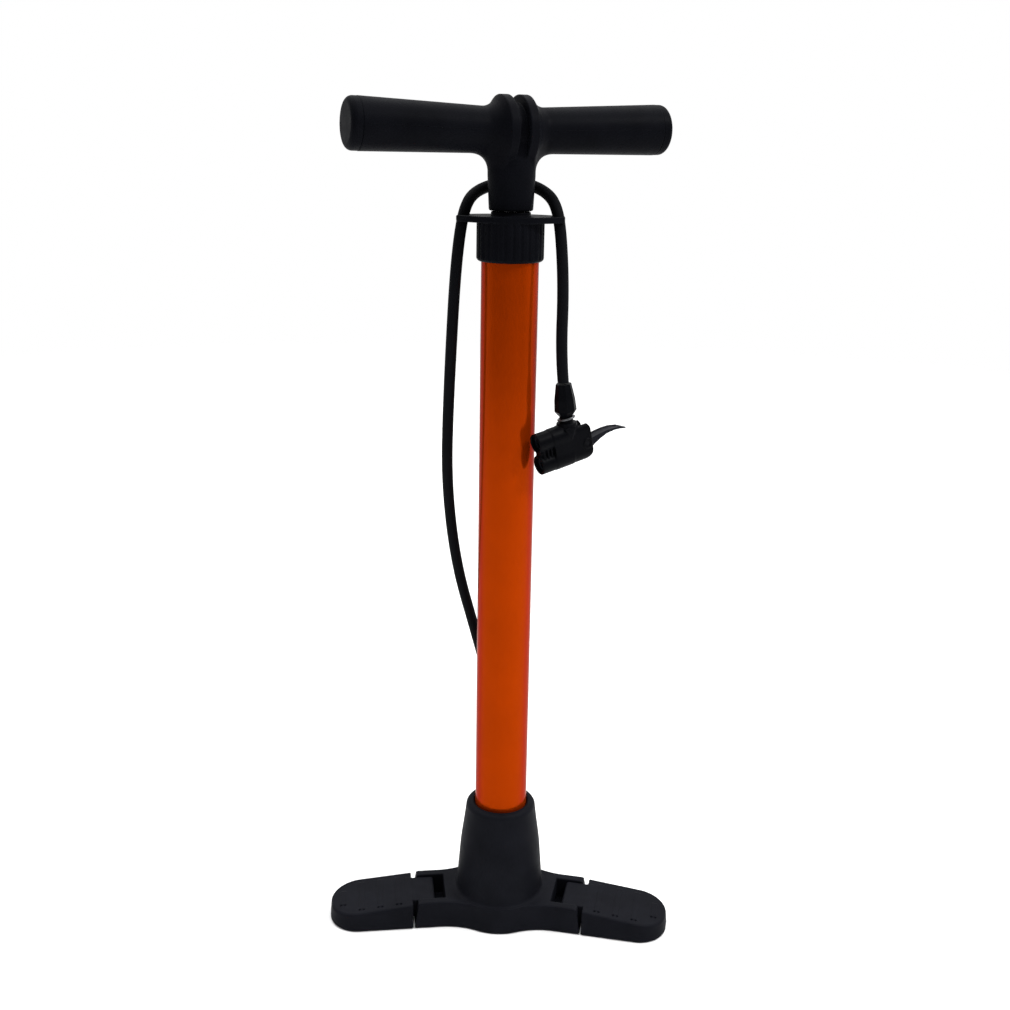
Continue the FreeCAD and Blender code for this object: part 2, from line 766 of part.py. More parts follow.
def make_piston_group():
    inside = S["barrel_radius"] - S["barrel_wall"]
    hole = S["spigot_radius"] + 0.05
    turned_piece("piston", (
        (hole, 30),
        (inside - 0.6, 30),
        (inside - 0.08, 31),
        (inside - 0.08, 34),
        (14.5, 34),
        (14.5, 39),
        (inside - 0.08, 39),
        (inside - 0.08, 42),
        (hole, 42),
    ))
    turned_piece("piston_seal", ring_outline(14.5, inside - 0.04, 34, 39))
    rod = S["rod_radius"]
    spigot = S["spigot_radius"]
    shoulder = S["bar_height"] - S["shoulder_drop"]
    turned_piece("piston_rod", (
        (0, 26.5),
        (spigot, 26.5),
        (spigot, 42.3),
        (rod, 42.3),
        (rod, shoulder),
        (spigot, shoulder),
        (spigot, shoulder + 10),
        (0, shoulder + 10),
    ))
    turned_piece("bump_stop", (
        (rod + 0.02, 43),
        (9, 43),
        (9.6, 44.5),
        (9, 48),
        (rod + 0.02, 48),
    ))
    make_hex_nut("piston_nut", 26.8, 29.7)
    make_hex_nut("rod_nut", shoulder + 3.1, shoulder + 9.4)


def make_hex_nut(label, low, high):
    """A hexagon nut round the rod's spigot."""
    body = new_body(label)
    sketch = new_sketch(body, "hexagon", "XY_Plane", height=low)
    corner = S["nut_flats"] / math.sqrt(3)
    points = []
    for index in range(6):
        angle = math.radians(60 * index)
        points.append((corner * round(math.cos(angle), 9), corner * round(math.sin(angle), 9)))
    add_outline(sketch, points)
    add_circle(sketch, 0, 0, S["spigot_radius"] + 0.02, "bore")
    pad(body, sketch, as_size(high) - low)
    return body


# ---------------------------------------------------------------- handle

def make_handle_bar():
    """The T-handle, its bar along X; the whole handle is then turned about Z."""
    body = new_body("t_handle")
    level = S["bar_height"].value
    half = S["bar_half_length"]
    end = S["bar_end_radius"]
    neck = S["bar_neck_radius"]
    ridge = S["ridge_radius"]
    slot = S["groove_half_width"]
    bore = S["bar_bore"]
    bar = new_sketch(body, "bar_profile", "XZ_Plane", shift=(0, level))
    bind(bar, "AttachmentOffset.Base.y", S["bar_height"])
    right = [(slot, S["groove_radius"]), (slot + 0.3, ridge - 0.5), (slot + 0.8, ridge),
             (S["ridge_outside"], ridge), (S["flank_end"], neck - 0.4), (S["flank_end"], 0)]
    left = [(-as_size(x), y) for x, y in reversed(right)]
    add_outline(bar, right + left)
    revolve(body, bar, "H_Axis")
    for name, side in (("right_arm", 1), ("left_arm", -1)):
        arm = arm_sketch(body, name, side)
        inner = S["ridge_outside"] + 3
        outline = ((inner, 0), (35, 0), (35, bore), (half, bore), (half, end), (22, neck), (inner, neck - 0.3))
        add_outline(arm, [(as_size(x) * side, y) for x, y in outline])
        revolve(body, arm, "H_Axis")

    stem = S["stem_radius"]
    wide = S["stem_top_radius"]
    low = S["stem_bottom"]
    column = new_sketch(body, "stem_profile", "XZ_Plane")
    add_outline(column, (
        (0, low), (stem - 1.2, low), (stem, low + 1.6), (wide, S["bar_height"] - 27),
        (wide, S["bar_height"]), (0, S["bar_height"])))
    revolve(body, column)
    gusset = new_sketch(body, "gussets", "XZ_Plane")
    curve = S["gusset_radius"]
    under = S["bar_height"] - neck + 0.6
    top = under + 4
    wide = wide - 0.1
    add_outline(gusset, (
        (-wide, under - curve, curve, -1),
        (wide, under - curve),
        (wide + curve, under, curve, -1),
        (wide + curve, top),
        (-wide - curve, top),
        (-wide - curve, under),
    ))
    pad(body, gusset, 20, symmetric=True)

    rod_bore = new_sketch(body, "rod_bore", "XY_Plane", height=low)
    add_circle(rod_bore, 0, 0, S["rod_radius"] + 0.02)
    shoulder = S["bar_height"] - S["shoulder_drop"]
    pocket(body, rod_bore, shoulder - low, reverse=True)
    spigot_bore = new_sketch(body, "spigot_bore", "XY_Plane", height=shoulder)
    add_circle(spigot_bore, 0, 0, S["spigot_radius"] + 0.02)
    pocket(body, spigot_bore, 4, reverse=True)
    nut_room = new_sketch(body, "nut_room", "XY_Plane", height=shoulder + 3)
    add_circle(nut_room, 0, 0, 7.8)
    pocket(body, nut_room, 8, reverse=True)
    turn_handle(body)
    return body


def arm_sketch(body, name, side):
    """A sketch whose H axis is the axis of the right (1) or the left (-1) half of the bar."""
    lift = ((0, 0, 1), S["bar_rise"].value * side)
    sketch = new_sketch(body, name, "XZ_Plane", turn=lift, shift=(0, S["bar_height"].value))
    bind(sketch, "AttachmentOffset.Base.y", S["bar_height"])
    return sketch


def turn_handle(body):
    body.Placement = FreeCAD.Placement(FreeCAD.Vector(0, 0, 0),
                                       FreeCAD.Rotation(UP, S["handle_yaw"].value))


def make_end_cap(label, side):
    body = new_body(label)
    start = S["bar_half_length"]
    tip = start + S["end_cap_length"]
    rim = S["bar_end_radius"]
    edge = S["end_cap_round"]
    plug = S["bar_bore"] - 0.03
    sketch = arm_sketch(body, "profile", side)
    corners = ((start - 14, 0), (start - 14, plug - 1), (start - 13, plug), (start, plug),
               (start, rim - 0.15), (tip - edge, rim - 0.15), (tip, rim - 0.15 - edge, edge, -1),
               (tip, 0))
    if side < 0:
        corners = tuple((-c[0],) + tuple(c[1:3]) + ((1,) if len(c) == 4 else ()) for c in corners)
    add_outline(sketch, corners)
    revolve(body, sketch, "H_Axis")
    turn_handle(body)
    return body


# ---------------------------------------------------------------- hose and its fittings

def hose_path(points):
    """Straight runs joined by tangent arcs, each as large as its two runs allow."""
    corners = [FreeCAD.Vector(*p) for p in points]
    edges = []
    radii = []
    start = corners[0]
    for before, corner, after in zip(corners, corners[1:], corners[2:]):
        inward = (before - corner).normalize()
        outward = (after - corner).normalize()
        turn = math.pi - inward.getAngle(outward)
        short = min((before - corner).Length, (after - corner).Length)
        trim = 0.45 * short
        radius = trim / math.tan(turn / 2)
        radii.append(radius)
        first = corner + inward * trim
        last = corner + outward * trim
        bisector = (inward + outward).normalize()
        centre = corner + bisector * (radius / math.cos(turn / 2))
        middle = centre - bisector * radius
        edges.append(Part.LineSegment(start, first).toShape())
        edges.append(Part.Arc(first, middle, last).toShape())
        start = last
    edges.append(Part.LineSegment(start, corners[-1]).toShape())
    return Part.Wire(edges), radii


def make_hose():
    route, radii = hose_path(HOSE_ROUTE)
    radius = S["hose_radius"].value
    begin = FreeCAD.Vector(*HOSE_ROUTE[0])
    heading = FreeCAD.Vector(*HOSE_ROUTE[1]) - begin
    section = Part.Wire([Part.Circle(begin, heading, radius).toShape()])
    tube = route.makePipeShell([section], True, False)
    expected = math.pi * radius ** 2 * route.Length
    if abs(tube.Volume / expected - 1) > 0.01:
        raise RuntimeError(f"hose volume {tube.Volume:.0f}, expected {expected:.0f}")
    print(f"hose length {route.Length:.1f}, radii " + " ".join(f"{r:.0f}" for r in radii))
    hose = DOC.addObject("Part::Feature", "hose")
    hose.Shape = tube
    return hose


def make_outlet_group():
    """The outlet fitting, its nut, and the check valve's ball and spring, all on one axis."""
    base = (0, S["outlet_y"].value, 0)
    top = S["outlet_top"]
    barb = S["barb_radius"]
    turned_piece("outlet_fitting", (
        (1.5, top - 4),
        (4.95, top - 4),
        (4.95, top),
        (8.6, top),
        (8.6, top + 2.5),
        (barb, top + 2.5),
        (barb, 56),
        (1.5, 56),
    ), base)
    turned_piece("base_hose_nut", (
        (barb + 0.03, top + 2.6),
        (7.2, top + 2.6),
        (8.0, top + 3.6),
        (7.8, 46),
        (5.6, 56),
        (barb + 0.03, 56),
    ), base)
    ball = DOC.addObject("Part::Sphere", "check_ball")
    ball.Label = "check_ball"
    bind(ball, "Radius", as_size(3.4))
    ball.Placement = FreeCAD.Placement(FreeCAD.Vector(0, S["outlet_y"].value, 22.5),
                                       FreeCAD.Rotation())
    spring = new_body("check_spring")
    wire = new_sketch(spring, "wire", "XZ_Plane")
    add_circle(wire, 2.9, 0, 0.35)
    coil = spring.newObject("PartDesign::AdditiveHelix", "check_spring_coil")
    coil.Profile = wire
    coil.ReferenceAxis = (wire, ["V_Axis"])
    coil.Mode = "pitch-height-angle"
    coil.Pitch = 1.05
    coil.Height = 4.0
    finish_feature(spring, coil, 0.0, True)
    spring.Placement = FreeCAD.Placement(FreeCAD.Vector(0, S["outlet_y"].value, 25.5),
                                         FreeCAD.Rotation())


# ---------------------------------------------------------------- valve head

def chuck_placement():
    """Local X runs out of the mouths, local Z up the stub, local Y to the near cheek."""
    heading = math.radians(CHUCK_HEADING)
    dip = math.radians(CHUCK_DIP)
    level = FreeCAD.Vector(-math.cos(heading), -math.sin(heading), 0)
    out = level * math.cos(dip) - UP * math.sin(dip)
    stub = level * math.sin(dip) + UP * math.cos(dip)
    side = stub.cross(out)
    matrix = FreeCAD.Matrix(
        out.x, side.x, stub.x, CHUCK_CENTRE.x,
        out.y, side.y, stub.y, CHUCK_CENTRE.y,
        out.z, side.z, stub.z, CHUCK_CENTRE.z,
        0, 0, 0, 1)
    return FreeCAD.Placement(matrix)


def stub_sketch(body, name):
    """A sketch whose V axis is the stub's axis, which leans back from the bores' square."""
    sketch = new_sketch(body, name, "XZ_Plane", turn=((0, 0, 1), S["stub_lean"].value),
                        shift=(S["stub_u"].value, 0))
    return sketch


def make_chuck_body():
    body = new_body("chuck_body")
    pitch = S["barrel_pitch_half"]
    mouth = S["mouth_radius"]
    back = S["chuck_back"]
    front = S["chuck_front"]
    waist = S["waist_back"]
    block = new_sketch(body, "block", "YZ_Plane", height=back)
    add_outline(block, ((-mouth, -pitch), (mouth, -pitch, mouth, 1), (mouth, pitch),
                        (-mouth, pitch, mouth, 1)))
    pad(body, block, waist - back)
    for name, sign in (("upper_barrel", 1.0), ("lower_barrel", -1.0)):
        barrel = new_sketch(body, name, "YZ_Plane", height=waist - 1)
        add_circle(barrel, 0, pitch * sign, mouth)
        pad(body, barrel, front - waist + 1)
    web = new_sketch(body, "web", "YZ_Plane", height=waist - 1)
    add_outline(web, rectangle(-3.4, 3.4, -pitch, pitch))
    pad(body, web, front - waist)
    ribs = new_sketch(body, "ribs", "XZ_Plane")
    for index in range(3):
        near = waist + 1.4 + 2.9 * index
        add_outline(ribs, rectangle(near, near + 1.3, -pitch + 1, pitch - 1), f"rib_{index}")
    pad(body, ribs, 10.4, symmetric=True)

    reach = pitch + mouth
    cheek = S["cheek_round"]
    for name, sign in (("upper_back", 1), ("lower_back", -1)):
        corner = new_sketch(body, name, "XZ_Plane")
        add_outline(corner, (
            (back - 2, (reach - cheek) * sign),
            (back, (reach - cheek) * sign),
            (back + cheek, reach * sign, cheek, -sign),
            (back + cheek, (reach + 2) * sign),
            (back - 2, (reach + 2) * sign),
        ))
        pocket(body, corner, 30, symmetric=True)
    slot = new_sketch(body, "lever_slot", "XZ_Plane")
    add_outline(slot, rectangle(back - 2, S["pivot_u"] + 6, -11, reach + 2))
    pocket(body, slot, S["lever_slot_half"] * 2, symmetric=True)
    boss_rim = new_sketch(body, "boss_rim", "XZ_Plane", height=mouth - 0.2)
    add_circle(boss_rim, S["pivot_u"], S["pivot_w"], S["pivot_ring_outside"], "outer")
    add_circle(boss_rim, S["pivot_u"], S["pivot_w"], S["pivot_ring_inside"], "inner")
    rim = pad(body, boss_rim, 0.8)
    mirror(body, [rim], "XZ_Plane", grows=True)
    hole = new_sketch(body, "pivot_hole", "XZ_Plane")
    add_circle(hole, S["pivot_u"], S["pivot_w"], S["lever_pin_radius"] + 0.02)
    pocket(body, hole, 30, symmetric=True)

    web_plate = new_sketch(body, "stub_web", "XZ_Plane")
    add_outline(web_plate, ((0.6, 14.0), (-4.9, 5.0), (-9.4, 13.2)))
    pad(body, web_plate, mouth * 2 + 1.2, symmetric=True)
    stub = stub_sketch(body, "stub")
    neck = S["neck_radius"]
    bottom = S["nut_bottom"]
    barb = S["barb_radius"]
    add_outline(stub, ((0, 10), (7, 10), (7, 14.4), (6.2, 15.6), (neck, 15.8), (neck, bottom - 0.1),
                       (barb, bottom - 0.1), (barb, S["nut_top"]), (0, S["nut_top"])))
    revolve(body, stub)
    for name, sign in (("upper_bore", 1.0), ("lower_bore", -1.0)):
        bore = new_sketch(body, name, "YZ_Plane", height=front)
        add_circle(bore, 0, pitch * sign, S["bore_radius"])
        pocket(body, bore, front + 8)
    drill = stub_sketch(body, "drill")
    add_outline(drill, rectangle(0, 1.5, -2, S["nut_top"] + 1))
    groove(body, drill)
    body.Placement = chuck_placement()
    return body


def make_chuck_nut():
    """The hose nut: eight flats, narrower to the top, chamfered below."""
    body = new_body("chuck_hose_nut")
    sketches = []
    for index, (level, corner) in enumerate(NUT_CORNERS):
        sketch = new_sketch(body, f"level_{index}", "XY_Plane", height=as_size(level))
        points = []
        for side in range(8):
            angle = math.radians(45 * side + 22.5)
            points.append((as_size(corner) * math.cos(angle), as_size(corner) * math.sin(angle)))
        add_outline(sketch, points)
        sketches.append(sketch)
    feature = body.newObject("PartDesign::AdditiveLoft", "chuck_hose_nut_loft")
    feature.Profile = sketches[0]
    feature.Sections = sketches[1:]
    feature.Ruled = True
    finish_feature(body, feature, 0.0, True)
    bore = new_sketch(body, "bore", "XY_Plane", height=S["nut_top"])
    add_circle(bore, 0, 0, S["barb_radius"] + 0.03)
    pocket(body, bore, 30)
    body.Placement = stub_placement()
    return body


def stub_placement():
    """Places a piece turned about Z on the stub's axis."""
    lean = FreeCAD.Rotation(FreeCAD.Vector(0, 1, 0), -S["stub_lean"].value)
    return chuck_placement() * FreeCAD.Placement(FreeCAD.Vector(S["stub_u"].value, 0, 0), lean)


def make_clip_ring():
    clip = turned_piece("clip_ring", (
        (S["neck_radius"] + 0.03, 17.1),
        (5.6, 17.1),
        (5.9, 17.5),
        (5.9, 18.6),
        (5.6, 19.0),
        (S["neck_radius"] + 0.03, 19.0),
    ))
    clip.Placement = stub_placement()


def make_valve_group():
    """A gasket at each mouth, and the plunger behind it that squeezes it."""
    pitch = S["barrel_pitch_half"]
    rows = (("schrader", 1.0, S["schrader_radius"]), ("presta", -1.0, S["presta_radius"]))
    for name, sign, hole in rows:
        gasket = new_body(f"{name}_gasket")
        ring = new_sketch(gasket, "ring", "YZ_Plane", height=as_size(11))
        add_circle(ring, 0, pitch * sign, S["bore_radius"] - 0.02, "outer")
        add_circle(ring, 0, pitch * sign, hole, "hole")
        pad(gasket, ring, 6)
        gasket.Placement = chuck_placement()
        plunger = new_body(f"{name}_plunger")
        disc = new_sketch(plunger, "disc", "YZ_Plane", height=as_size(-7.5))
        add_circle(disc, 0, pitch * sign, S["bore_radius"] - 0.08)
        pad(plunger, disc, 15)
        tip = new_sketch(plunger, "tip", "YZ_Plane", height=as_size(7))
        add_circle(tip, 0, pitch * sign, 1.2)
        pad(plunger, tip, 3.5)
        plunger.Placement = chuck_placement()


def make_lever():
    body = new_body("chuck_lever")
    u = S["pivot_u"]
    w = S["pivot_w"]
    cam = S["cam_radius"]
    disc = new_sketch(body, "cam", "XZ_Plane")
    add_circle(disc, u, w, cam)
    pad(body, disc, S["lever_half_width"] * 2, symmetric=True)
    arm = new_sketch(body, "arm", "XZ_Plane")
    add_outline(arm, [(u - back, w + rise) for back, rise in LEVER_UNDER + LEVER_TOP])
    pad(body, arm, S["lever_half_width"] * 2, symmetric=True)
    tip = u - LEVER_TOP[0][0]
    half = S["lever_half_width"]
    for name, sign in (("tip_near", 1), ("tip_far", -1)):
        corner = new_sketch(body, name, "XY_Plane")
        add_outline(corner, (
            (tip - 2, (half - 3.6) * sign),
            (tip, (half - 3.6) * sign),
            (tip + 3.6, half * sign, 3.6, -sign),
            (tip + 3.6, (half + 2) * sign),
            (tip - 2, (half + 2) * sign),
        ))
        pocket(body, corner, 40, symmetric=True)
    hole = new_sketch(body, "pin_hole", "XZ_Plane")
    add_circle(hole, u, w, S["lever_pin_radius"] + 0.06)
    pocket(body, hole, 30, symmetric=True)
    body.Placement = chuck_placement()
    pin = new_body("lever_pin")
    section = new_sketch(pin, "section", "XZ_Plane")
    add_circle(section, u, w, S["lever_pin_radius"])
    pad(pin, section, S["lever_pin_length"], symmetric=True)
    pin.Placement = chuck_placement()


def main():
    make_base_group()
    make_barrel()
    make_top_cap()
    make_bush()
    make_piston_group()
    make_handle_bar()
    for label, side in (("left_end_cap", -1), ("right_end_cap", 1)):
        make_end_cap(label, side)
    make_hose()
    make_outlet_group()
    make_chuck_body()
    make_chuck_nut()
    make_clip_ring()
    make_valve_group()
    make_lever()
    DOC.recompute()
    write_parts()


def write_parts():
    """Check every object, then write each sub-part to its own file."""
    for item in DOC.Objects:
        if "Invalid" in item.State or "Error" in item.State:
            raise RuntimeError(f"{item.Label}: {item.State}")
    os.makedirs(OUT_DIR, exist_ok=True)
    kinds = ("PartDesign::Body", "Part::Feature", "Part::Sphere")
    nodes = [item for item in DOC.Objects if item.TypeId in kinds]
    for item in nodes:
        shape = item.Shape
        if shape.isNull() or not shape.isValid():
            raise RuntimeError(f"{item.Label}: bad shape")
        if len(shape.Solids) != 1:
            boxes = [str(solid.BoundBox) for solid in shape.Solids]
            raise RuntimeError(f"{item.Label}: separate solids {boxes}")
    for item in nodes:
        item.Shape.exportStep(os.path.join(OUT_DIR, f"{item.Label}.step"))
    print(f"{len(nodes)} parts written")


main()
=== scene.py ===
import bpy
import json
import math
import numpy as np
from mathutils import Matrix, Vector


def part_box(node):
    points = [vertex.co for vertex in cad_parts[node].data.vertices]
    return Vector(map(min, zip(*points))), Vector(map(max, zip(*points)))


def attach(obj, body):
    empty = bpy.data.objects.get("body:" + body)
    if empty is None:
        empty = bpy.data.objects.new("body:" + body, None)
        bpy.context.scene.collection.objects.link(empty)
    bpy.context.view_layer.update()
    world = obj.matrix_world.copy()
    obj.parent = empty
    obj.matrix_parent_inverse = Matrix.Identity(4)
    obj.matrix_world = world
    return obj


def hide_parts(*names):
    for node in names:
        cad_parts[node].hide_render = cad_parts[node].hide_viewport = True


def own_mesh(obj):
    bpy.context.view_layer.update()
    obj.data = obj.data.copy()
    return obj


# Floor bike pump. Lengths in this file are millimetres until a mesh is made; MM turns them into
# metres. +X is the right foot's side, -Y is the front, +Z is up along the barrel. Each moulding is
# a distance field, negative inside. A grid is its low corner, its high corner and its step. The
# camera, the lights and the floor are in metres.

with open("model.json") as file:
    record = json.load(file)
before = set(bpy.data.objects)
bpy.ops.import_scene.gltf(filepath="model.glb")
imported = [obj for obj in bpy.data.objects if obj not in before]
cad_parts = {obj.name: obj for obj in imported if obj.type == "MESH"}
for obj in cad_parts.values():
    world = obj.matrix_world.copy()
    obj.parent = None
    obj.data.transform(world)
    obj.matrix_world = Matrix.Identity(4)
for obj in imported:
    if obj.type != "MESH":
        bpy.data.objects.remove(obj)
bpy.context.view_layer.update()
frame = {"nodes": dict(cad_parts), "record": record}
MM = 0.001


# ---------------------------------------------------------------- sizes from the design

BARREL_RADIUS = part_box("barrel_tube")[1][0] / MM
HANDLE_YAW = math.radians(25.2)
BAR_HEIGHT = 568.8
ARM_SWEEP = math.radians(9.0)
HOSE_DIAMETER = 7.6

# The valve head has its own axes: u runs out of its mouths, w up its neck.
CHUCK_CENTRE = Vector((37.6, -8.5, 365.8))
CHUCK_HEADING = math.radians(31.9)
CHUCK_DIP = math.radians(12.2)
STUB_U = -5.0
STUB_LEAN = math.radians(5.0)

HOSE_ROUTE = (
    (0.0, 41.0, 56.0),
    (0.0, 41.0, 76.0),
    (-1.6, 39.3, 106.0),
    (-6.0, 34.5, 145.0),
    (-14.1, 28.0, 184.6),
    (-23.6, 22.0, 223.6),
    (-33.1, 15.0, 261.8),
    (-38.8, 8.5, 301.2),
    (-41.5, 3.0, 343.8),
    (-40.2, -1.5, 386.6),
    (-38.1, -4.6, 430.6),
    (-35.6, -6.0, 476.1),
    (-32.9, -3.0, 505.4),
    (-29.5, 3.0, 523.4),
    (-23.0, 13.5, 531.6),
    (-8.0, 22.0, 536.5),
    (8.0, 22.0, 536.5),
    (22.0, 13.5, 531.6),
    (29.4, 3.0, 523.4),
    (33.0, -3.0, 505.4),
    (35.5, -8.0, 469.6),
    (35.0, -10.1, 429.3),
    (37.1, -8.8, 409.4),
)


# ---------------------------------------------------------------- shapes as distance fields

class Grid:
    """The points of a regular grid as arrays that broadcast together."""

    def __init__(self, low, high, step):
        self.low = np.array(low, dtype=float)
        self.step = step
        count = np.ceil((np.array(high) - self.low) / step).astype(int) + 1
        axes = [self.low[i] + step * np.arange(count[i]) for i in range(3)]
        self.x, self.y, self.z = np.meshgrid(*axes, indexing="ij", sparse=True)


def join(a, b, soft=0.0):
    """Union of two fields, with a fillet of about that size."""
    if np.ndim(soft) == 0 and soft <= 0:
        return np.minimum(a, b)
    mix = np.clip(0.5 + 0.5 * (b - a) / soft, 0, 1)
    return b * (1 - mix) + a * mix - soft * mix * (1 - mix)


def overlap(a, b, soft=0.0):
    """What two fields share, with the edge rounded off by about that size."""
    return -join(-a, -b, soft)


def cut(a, b, soft=0.0):
    """The first field less the second."""
    return -join(-a, b, soft)


def slab(value, low, high):
    """Between two flat faces."""
    return np.abs(value - (low + high) / 2) - (high - low) / 2


def disc(a, b, radius, centre=(0.0, 0.0)):
    """A circle in the plane of a and b, so a cylinder in space."""
    return np.hypot(a - centre[0], b - centre[1]) - radius


def block(parts, edge=0.0):
    """A box, or any prism, from the fields of its sides, with rounded edges."""
    moved = [part + edge for part in parts]
    inner = moved[0]
    outer = np.maximum(moved[0], 0) ** 2
    for part in moved[1:]:
        inner = np.maximum(inner, part)
        outer = outer + np.maximum(part, 0) ** 2
    return np.minimum(inner, 0) + np.sqrt(outer) - edge


def polygon(a, b, corners):
    """Distance to a closed polygon in the plane of a and b, negative inside."""
    a, b = np.broadcast_arrays(a, b)
    nearest = np.full(a.shape, 1e9)
    sign = np.ones(a.shape)
    last = corners[-1]
    for corner in corners:
        edge_a, edge_b = last[0] - corner[0], last[1] - corner[1]
        off_a, off_b = a - corner[0], b - corner[1]
        along = (off_a * edge_a + off_b * edge_b) / (edge_a ** 2 + edge_b ** 2)
        along = np.clip(along, 0, 1)
        gap = (off_a - edge_a * along) ** 2 + (off_b - edge_b * along) ** 2
        nearest = np.minimum(nearest, gap)
        above = b >= corner[1]
        below = b < last[1]
        turn = edge_a * off_b > edge_b * off_a
        flip = (above & below & turn) | (~above & ~below & ~turn)
        sign = np.where(flip, -sign, sign)
        last = corner
    return sign * np.sqrt(nearest)


CORNERS = [(i, j, k) for i in (0, 1) for j in (0, 1) for k in (0, 1)]
EDGES = [(a, b) for a in range(8) for b in range(a + 1, 8)
         if sum(abs(CORNERS[a][i] - CORNERS[b][i]) for i in range(3)) == 1]


def skin(grid, field):
    """Points in millimetres and four-sided faces of the surface where the field is zero."""
    inside = field < 0
    ends = (slice(0, -1), slice(1, None))
    count = sum(inside[ends[i], ends[j], ends[k]].astype(np.int8) for i, j, k in CORNERS)
    active = (count > 0) & (count < 8)
    cells = np.argwhere(active)
    values = [field[cells[:, 0] + i, cells[:, 1] + j, cells[:, 2] + k] for i, j, k in CORNERS]
    total = np.zeros(cells.shape)
    hits = np.zeros(len(cells))
    for a, b in EDGES:
        crossed = (values[a] < 0) != (values[b] < 0)
        gap = np.where(crossed, values[a] - values[b], 1.0)
        part = np.where(crossed, values[a] / gap, 0.0)[:, None]
        start, end = np.array(CORNERS[a]), np.array(CORNERS[b])
        total += np.where(crossed[:, None], start + part * (end - start), 0.0)
        hits += crossed
    points = grid.low + grid.step * (cells + total / hits[:, None])
    number = np.full(active.shape, -1)
    number[active] = np.arange(len(cells))
    faces = []
    for axis in range(3):
        one, two = (axis + 1) % 3, (axis + 2) % 3
        near = np.take(inside, range(inside.shape[axis] - 1), axis)
        far = np.take(inside, range(1, inside.shape[axis]), axis)
        spots = np.argwhere(near != far)
        spots = spots[(spots[:, one] > 0) & (spots[:, two] > 0)]
        spots = spots[(spots[:, one] < active.shape[one]) & (spots[:, two] < active.shape[two])]
        outward = near[spots[:, 0], spots[:, 1], spots[:, 2]]
        ring = []
        for step_one, step_two in ((1, 1), (0, 1), (0, 0), (1, 0)):
            cell = spots.copy()
            cell[:, one] -= step_one
            cell[:, two] -= step_two
            ring.append(number[cell[:, 0], cell[:, 1], cell[:, 2]])
        quads = np.stack(ring, axis=1)
        quads[outward] = quads[outward][:, ::-1]
        faces.append(quads)
    return points, np.concatenate(faces)


def mesh_object(name, points, faces, place=None):
    """A smooth-shaded mesh object from points in millimetres."""
    mesh = bpy.data.meshes.new(name)
    places = [tuple(point) for point in np.asarray(points) * MM]
    mesh.from_pydata(places, [], [list(map(int, face)) for face in faces])
    mesh.update()
    mesh.shade_smooth()
    if place is not None:
        mesh.transform(place)
    obj = bpy.data.objects.new(name, mesh)
    bpy.context.scene.collection.objects.link(obj)
    return obj


def wire_object(name, points, radius, rings=4, capped=True):
    """A round wire through points in millimetres, as a curve object."""
    curve = bpy.data.curves.new(name, "CURVE")
    curve.dimensions = "3D"
    curve.bevel_depth = radius * MM
    curve.bevel_resolution = rings
    curve.use_fill_caps = capped
    spline = curve.splines.new("POLY")
    spline.points.add(len(points) - 1)
    for spot, point in zip(spline.points, points):
        spot.co = tuple(Vector(point) * MM) + (1,)
    wire = bpy.data.objects.new(name, curve)
    bpy.context.scene.collection.objects.link(wire)
    return wire


# ---------------------------------------------------------------- camera, light and floor

FOCAL_PER_WIDTH = 1.1917
SENSOR = 36.0
CAMERA_DISTANCE = 0.8003
CAMERA_HEIGHT = 0.561
CAMERA_PITCH = math.radians(16.4)
CAMERA_ROLL = math.radians(1.0)
CAMERA_YAW = math.radians(1.95)
CAMERA_SHIFT = (-0.0009, -0.0069)


def make_camera():
    """The photographer's camera: in front, above, tilted down and rolled a little."""
    data = bpy.data.cameras.new("camera")
    data.sensor_width = SENSOR
    data.lens = SENSOR * FOCAL_PER_WIDTH
    data.shift_x, data.shift_y = CAMERA_SHIFT
    data.clip_start = 0.05
    data.clip_end = 50
    camera = bpy.data.objects.new("camera", data)
    camera.location = (CAMERA_DISTANCE * math.sin(CAMERA_YAW),
                       -CAMERA_DISTANCE * math.cos(CAMERA_YAW), CAMERA_HEIGHT)
    turn = Matrix.Rotation(CAMERA_YAW, 4, "Z")
    pitch = Matrix.Rotation(math.pi / 2 - CAMERA_PITCH, 4, "X")
    roll = Matrix.Rotation(CAMERA_ROLL, 4, "Z")
    camera.rotation_euler = (turn @ pitch @ roll).to_euler()
    bpy.context.scene.collection.objects.link(camera)
    bpy.context.scene.camera = camera


def area_light(name, place, target, size, power):
    data = bpy.data.lights.new(name, "AREA")
    data.shape = "RECTANGLE"
    data.size, data.size_y = size
    data.energy = power
    light = bpy.data.objects.new(name, data)
    light.location = place
    aim = Vector(target) - Vector(place)
    light.rotation_euler = aim.to_track_quat("-Z", "Y").to_euler()
    bpy.context.scene.collection.objects.link(light)


# The room's glow rises from front to back, between these two Y values of its direction.
FRONT_GLOW = 0.3
BACK_GLOW = 1.0
GLOW_TURNS = (-0.5, 0.3)
CEILING_LIGHT = {"place": (0.0, 0.8, 3.2), "target": (0.0, 0.8, 0.0), "size": (5.0, 5.0),
                 "power": 175}
KEY_LIGHT = {"place": (1.08, -0.32, 1.48), "target": (0.0, 0.0, 0.35), "size": (0.15, 0.15),
             "power": 13}


